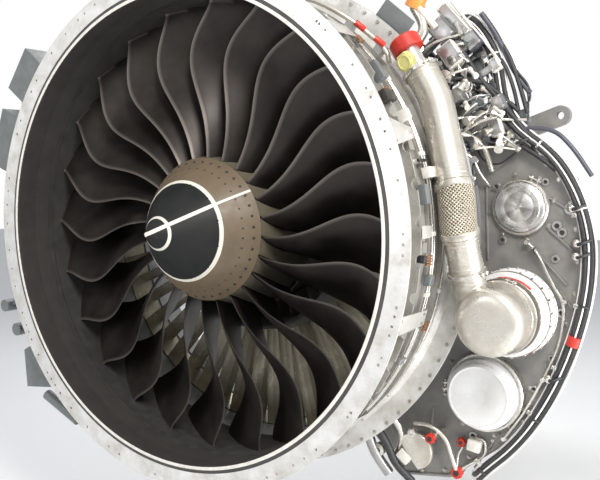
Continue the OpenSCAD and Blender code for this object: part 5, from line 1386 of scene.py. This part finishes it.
def ribbed_cap(x, z, y, r):
    """A pipe stub on the gearbox with a red cap that has eight grip ribs. Millimetres."""
    at = spot(x, y, z)
    parts = [lathe(bright_steel, at + spot(0, 30, 0), BACK, [(r * 0.72, 0), (r * 0.72, FACE - 30.3 - y)], 32),
             lathe(red_plastic, at, BACK, [(r * 0.84, 0), (r, 3), (r, 34), (r * 0.9, 38)], 32),
             lathe(dark_screw, at, FRONT, [(r * 0.5, 0), (r * 0.5, 5)], 24)]
    for a in range(0, 360, 45):
        rib = placed(at_angle(at + outward(a) * r * MM + spot(0, 18, 0), a), (9, 32, 7))
        parts.append(painted(rib, red_plastic))
    return parts


for x, z, y, r in ((1357.3, -1299.3, 860, 30), (1492.3, -1350.3, 1040, 26), (1482.3, -1539.3, 1000, 36)):
    caps += ribbed_cap(x, z, y, r)
caps = joined(caps, "caps_and_plug", None, stands_for=("blanking_caps",))
print("caps", len(caps.data.polygons))

# %% Flap valve
VALVE = polar(1878.3, -48.8, 905)
EDGE = Vector((0.787, 0, 0.617))
plate = turned(VALVE, FRONT, [(112, -30), (118, -26), (118, -2), (114, 2), (40, 7)], 72)
pick(plate, lambda p: True)
bpy.ops.mesh.bisect(plane_co=VALVE + EDGE * -0.052, plane_no=EDGE, use_fill=True, clear_inner=True)
bpy.ops.object.mode_set(mode="OBJECT")
settle(plate)
rounded(plate, 1.5)
valve = [painted(plate, duct_cream),
         lathe(mount_steel, VALVE + spot(0, 34, 0), BACK, [(92, 0), (92, 108), (70, 122), (70, 160)]),
         lathe(bright_steel, VALVE + spot(-20, -4, 120), FRONT, [(26, -40), (26, 6), (17, 8), (17, 0)], 32),
         painted(block(VALVE + spot(-75, 20, -50), (90, 60, 70), (0, 38, 0), 5), clip_white)]
valve += hoses([
    ([(1212, 950, -1246), (1330, 940, -1235), (1426, 960, -1305), (1455, 990, -1430),
      (1480, 1010, -1520)], 14, duct_cream),
    ([(1582, 1075, -1310), (1650, 1070, -1315), (1650, 1070, -1420), (1540, 1060, -1490),
      (1490, 1040, -1530)], 8, bright_steel),
    ([(1500, 1060, -1380), (1470, 1050, -1440), (1475, 1030, -1510)], 9, bright_steel),
    ([(1010, 850, -1300), (1060, 880, -1400), (1100, 900, -1520), (1200, 960, -1640)], 26, harness_sleeve),
    ([(930, 850, -1330), (960, 880, -1460), (1050, 920, -1600)], 34, mount_steel),
    ([(1100, 860, -1200), (1150, 900, -1290), (1130, 930, -1400), (1060, 960, -1500)], 20, bright_steel),
], spot)
valve.append(lathe(bright_steel, spot(984, 880, -1447), FRONT,
                   [(42, -60), (44, 0), (38, 4), (22, 6), (20, -6)], 32))
valve.append(painted(block(spot(1582, 1062, -1353), (84, 70, 74), (0, 8, 0), 5), clip_white))
valve = joined(valve, "flap_valve", None, stands_for=("bleed_valve",))
print("valve", len(valve.data.polygons))

# %% [markdown]
# On the other side of the intake a few thick pipes show past the edge of the flange. Their lower
# ends can't be seen, so they simply run down to the case.

# %% Pipes behind the left edge of the flange
left = hoses([([(1530, a, y + 90), (1640, a, y + 60), (1800, a + 0.6, y + 90), (1900, a + 1.2, y + 200)],
               15, mat)
              for a, y, mat in ((150.6, 70, copper), (151.6, 90, copper), (152.8, 80, orange_plastic),
                                (149.8, 120, mount_steel))])
left += hoses([([(1528, 129 + k, 120), (1620, 128.6 + k, 110), (1690, 130.5 + k, 130),
                 (1730, 133 + k, 150)], 13, (mount_steel, copper, bright_steel)[k % 3]) for k in range(4)])
left.append(painted(case_block(130.6, 1640, 120, (40, 50, 150), 5), mount_steel))
left = joined(left, "left_pipes", None)
print("left pipes", len(left.data.polygons))
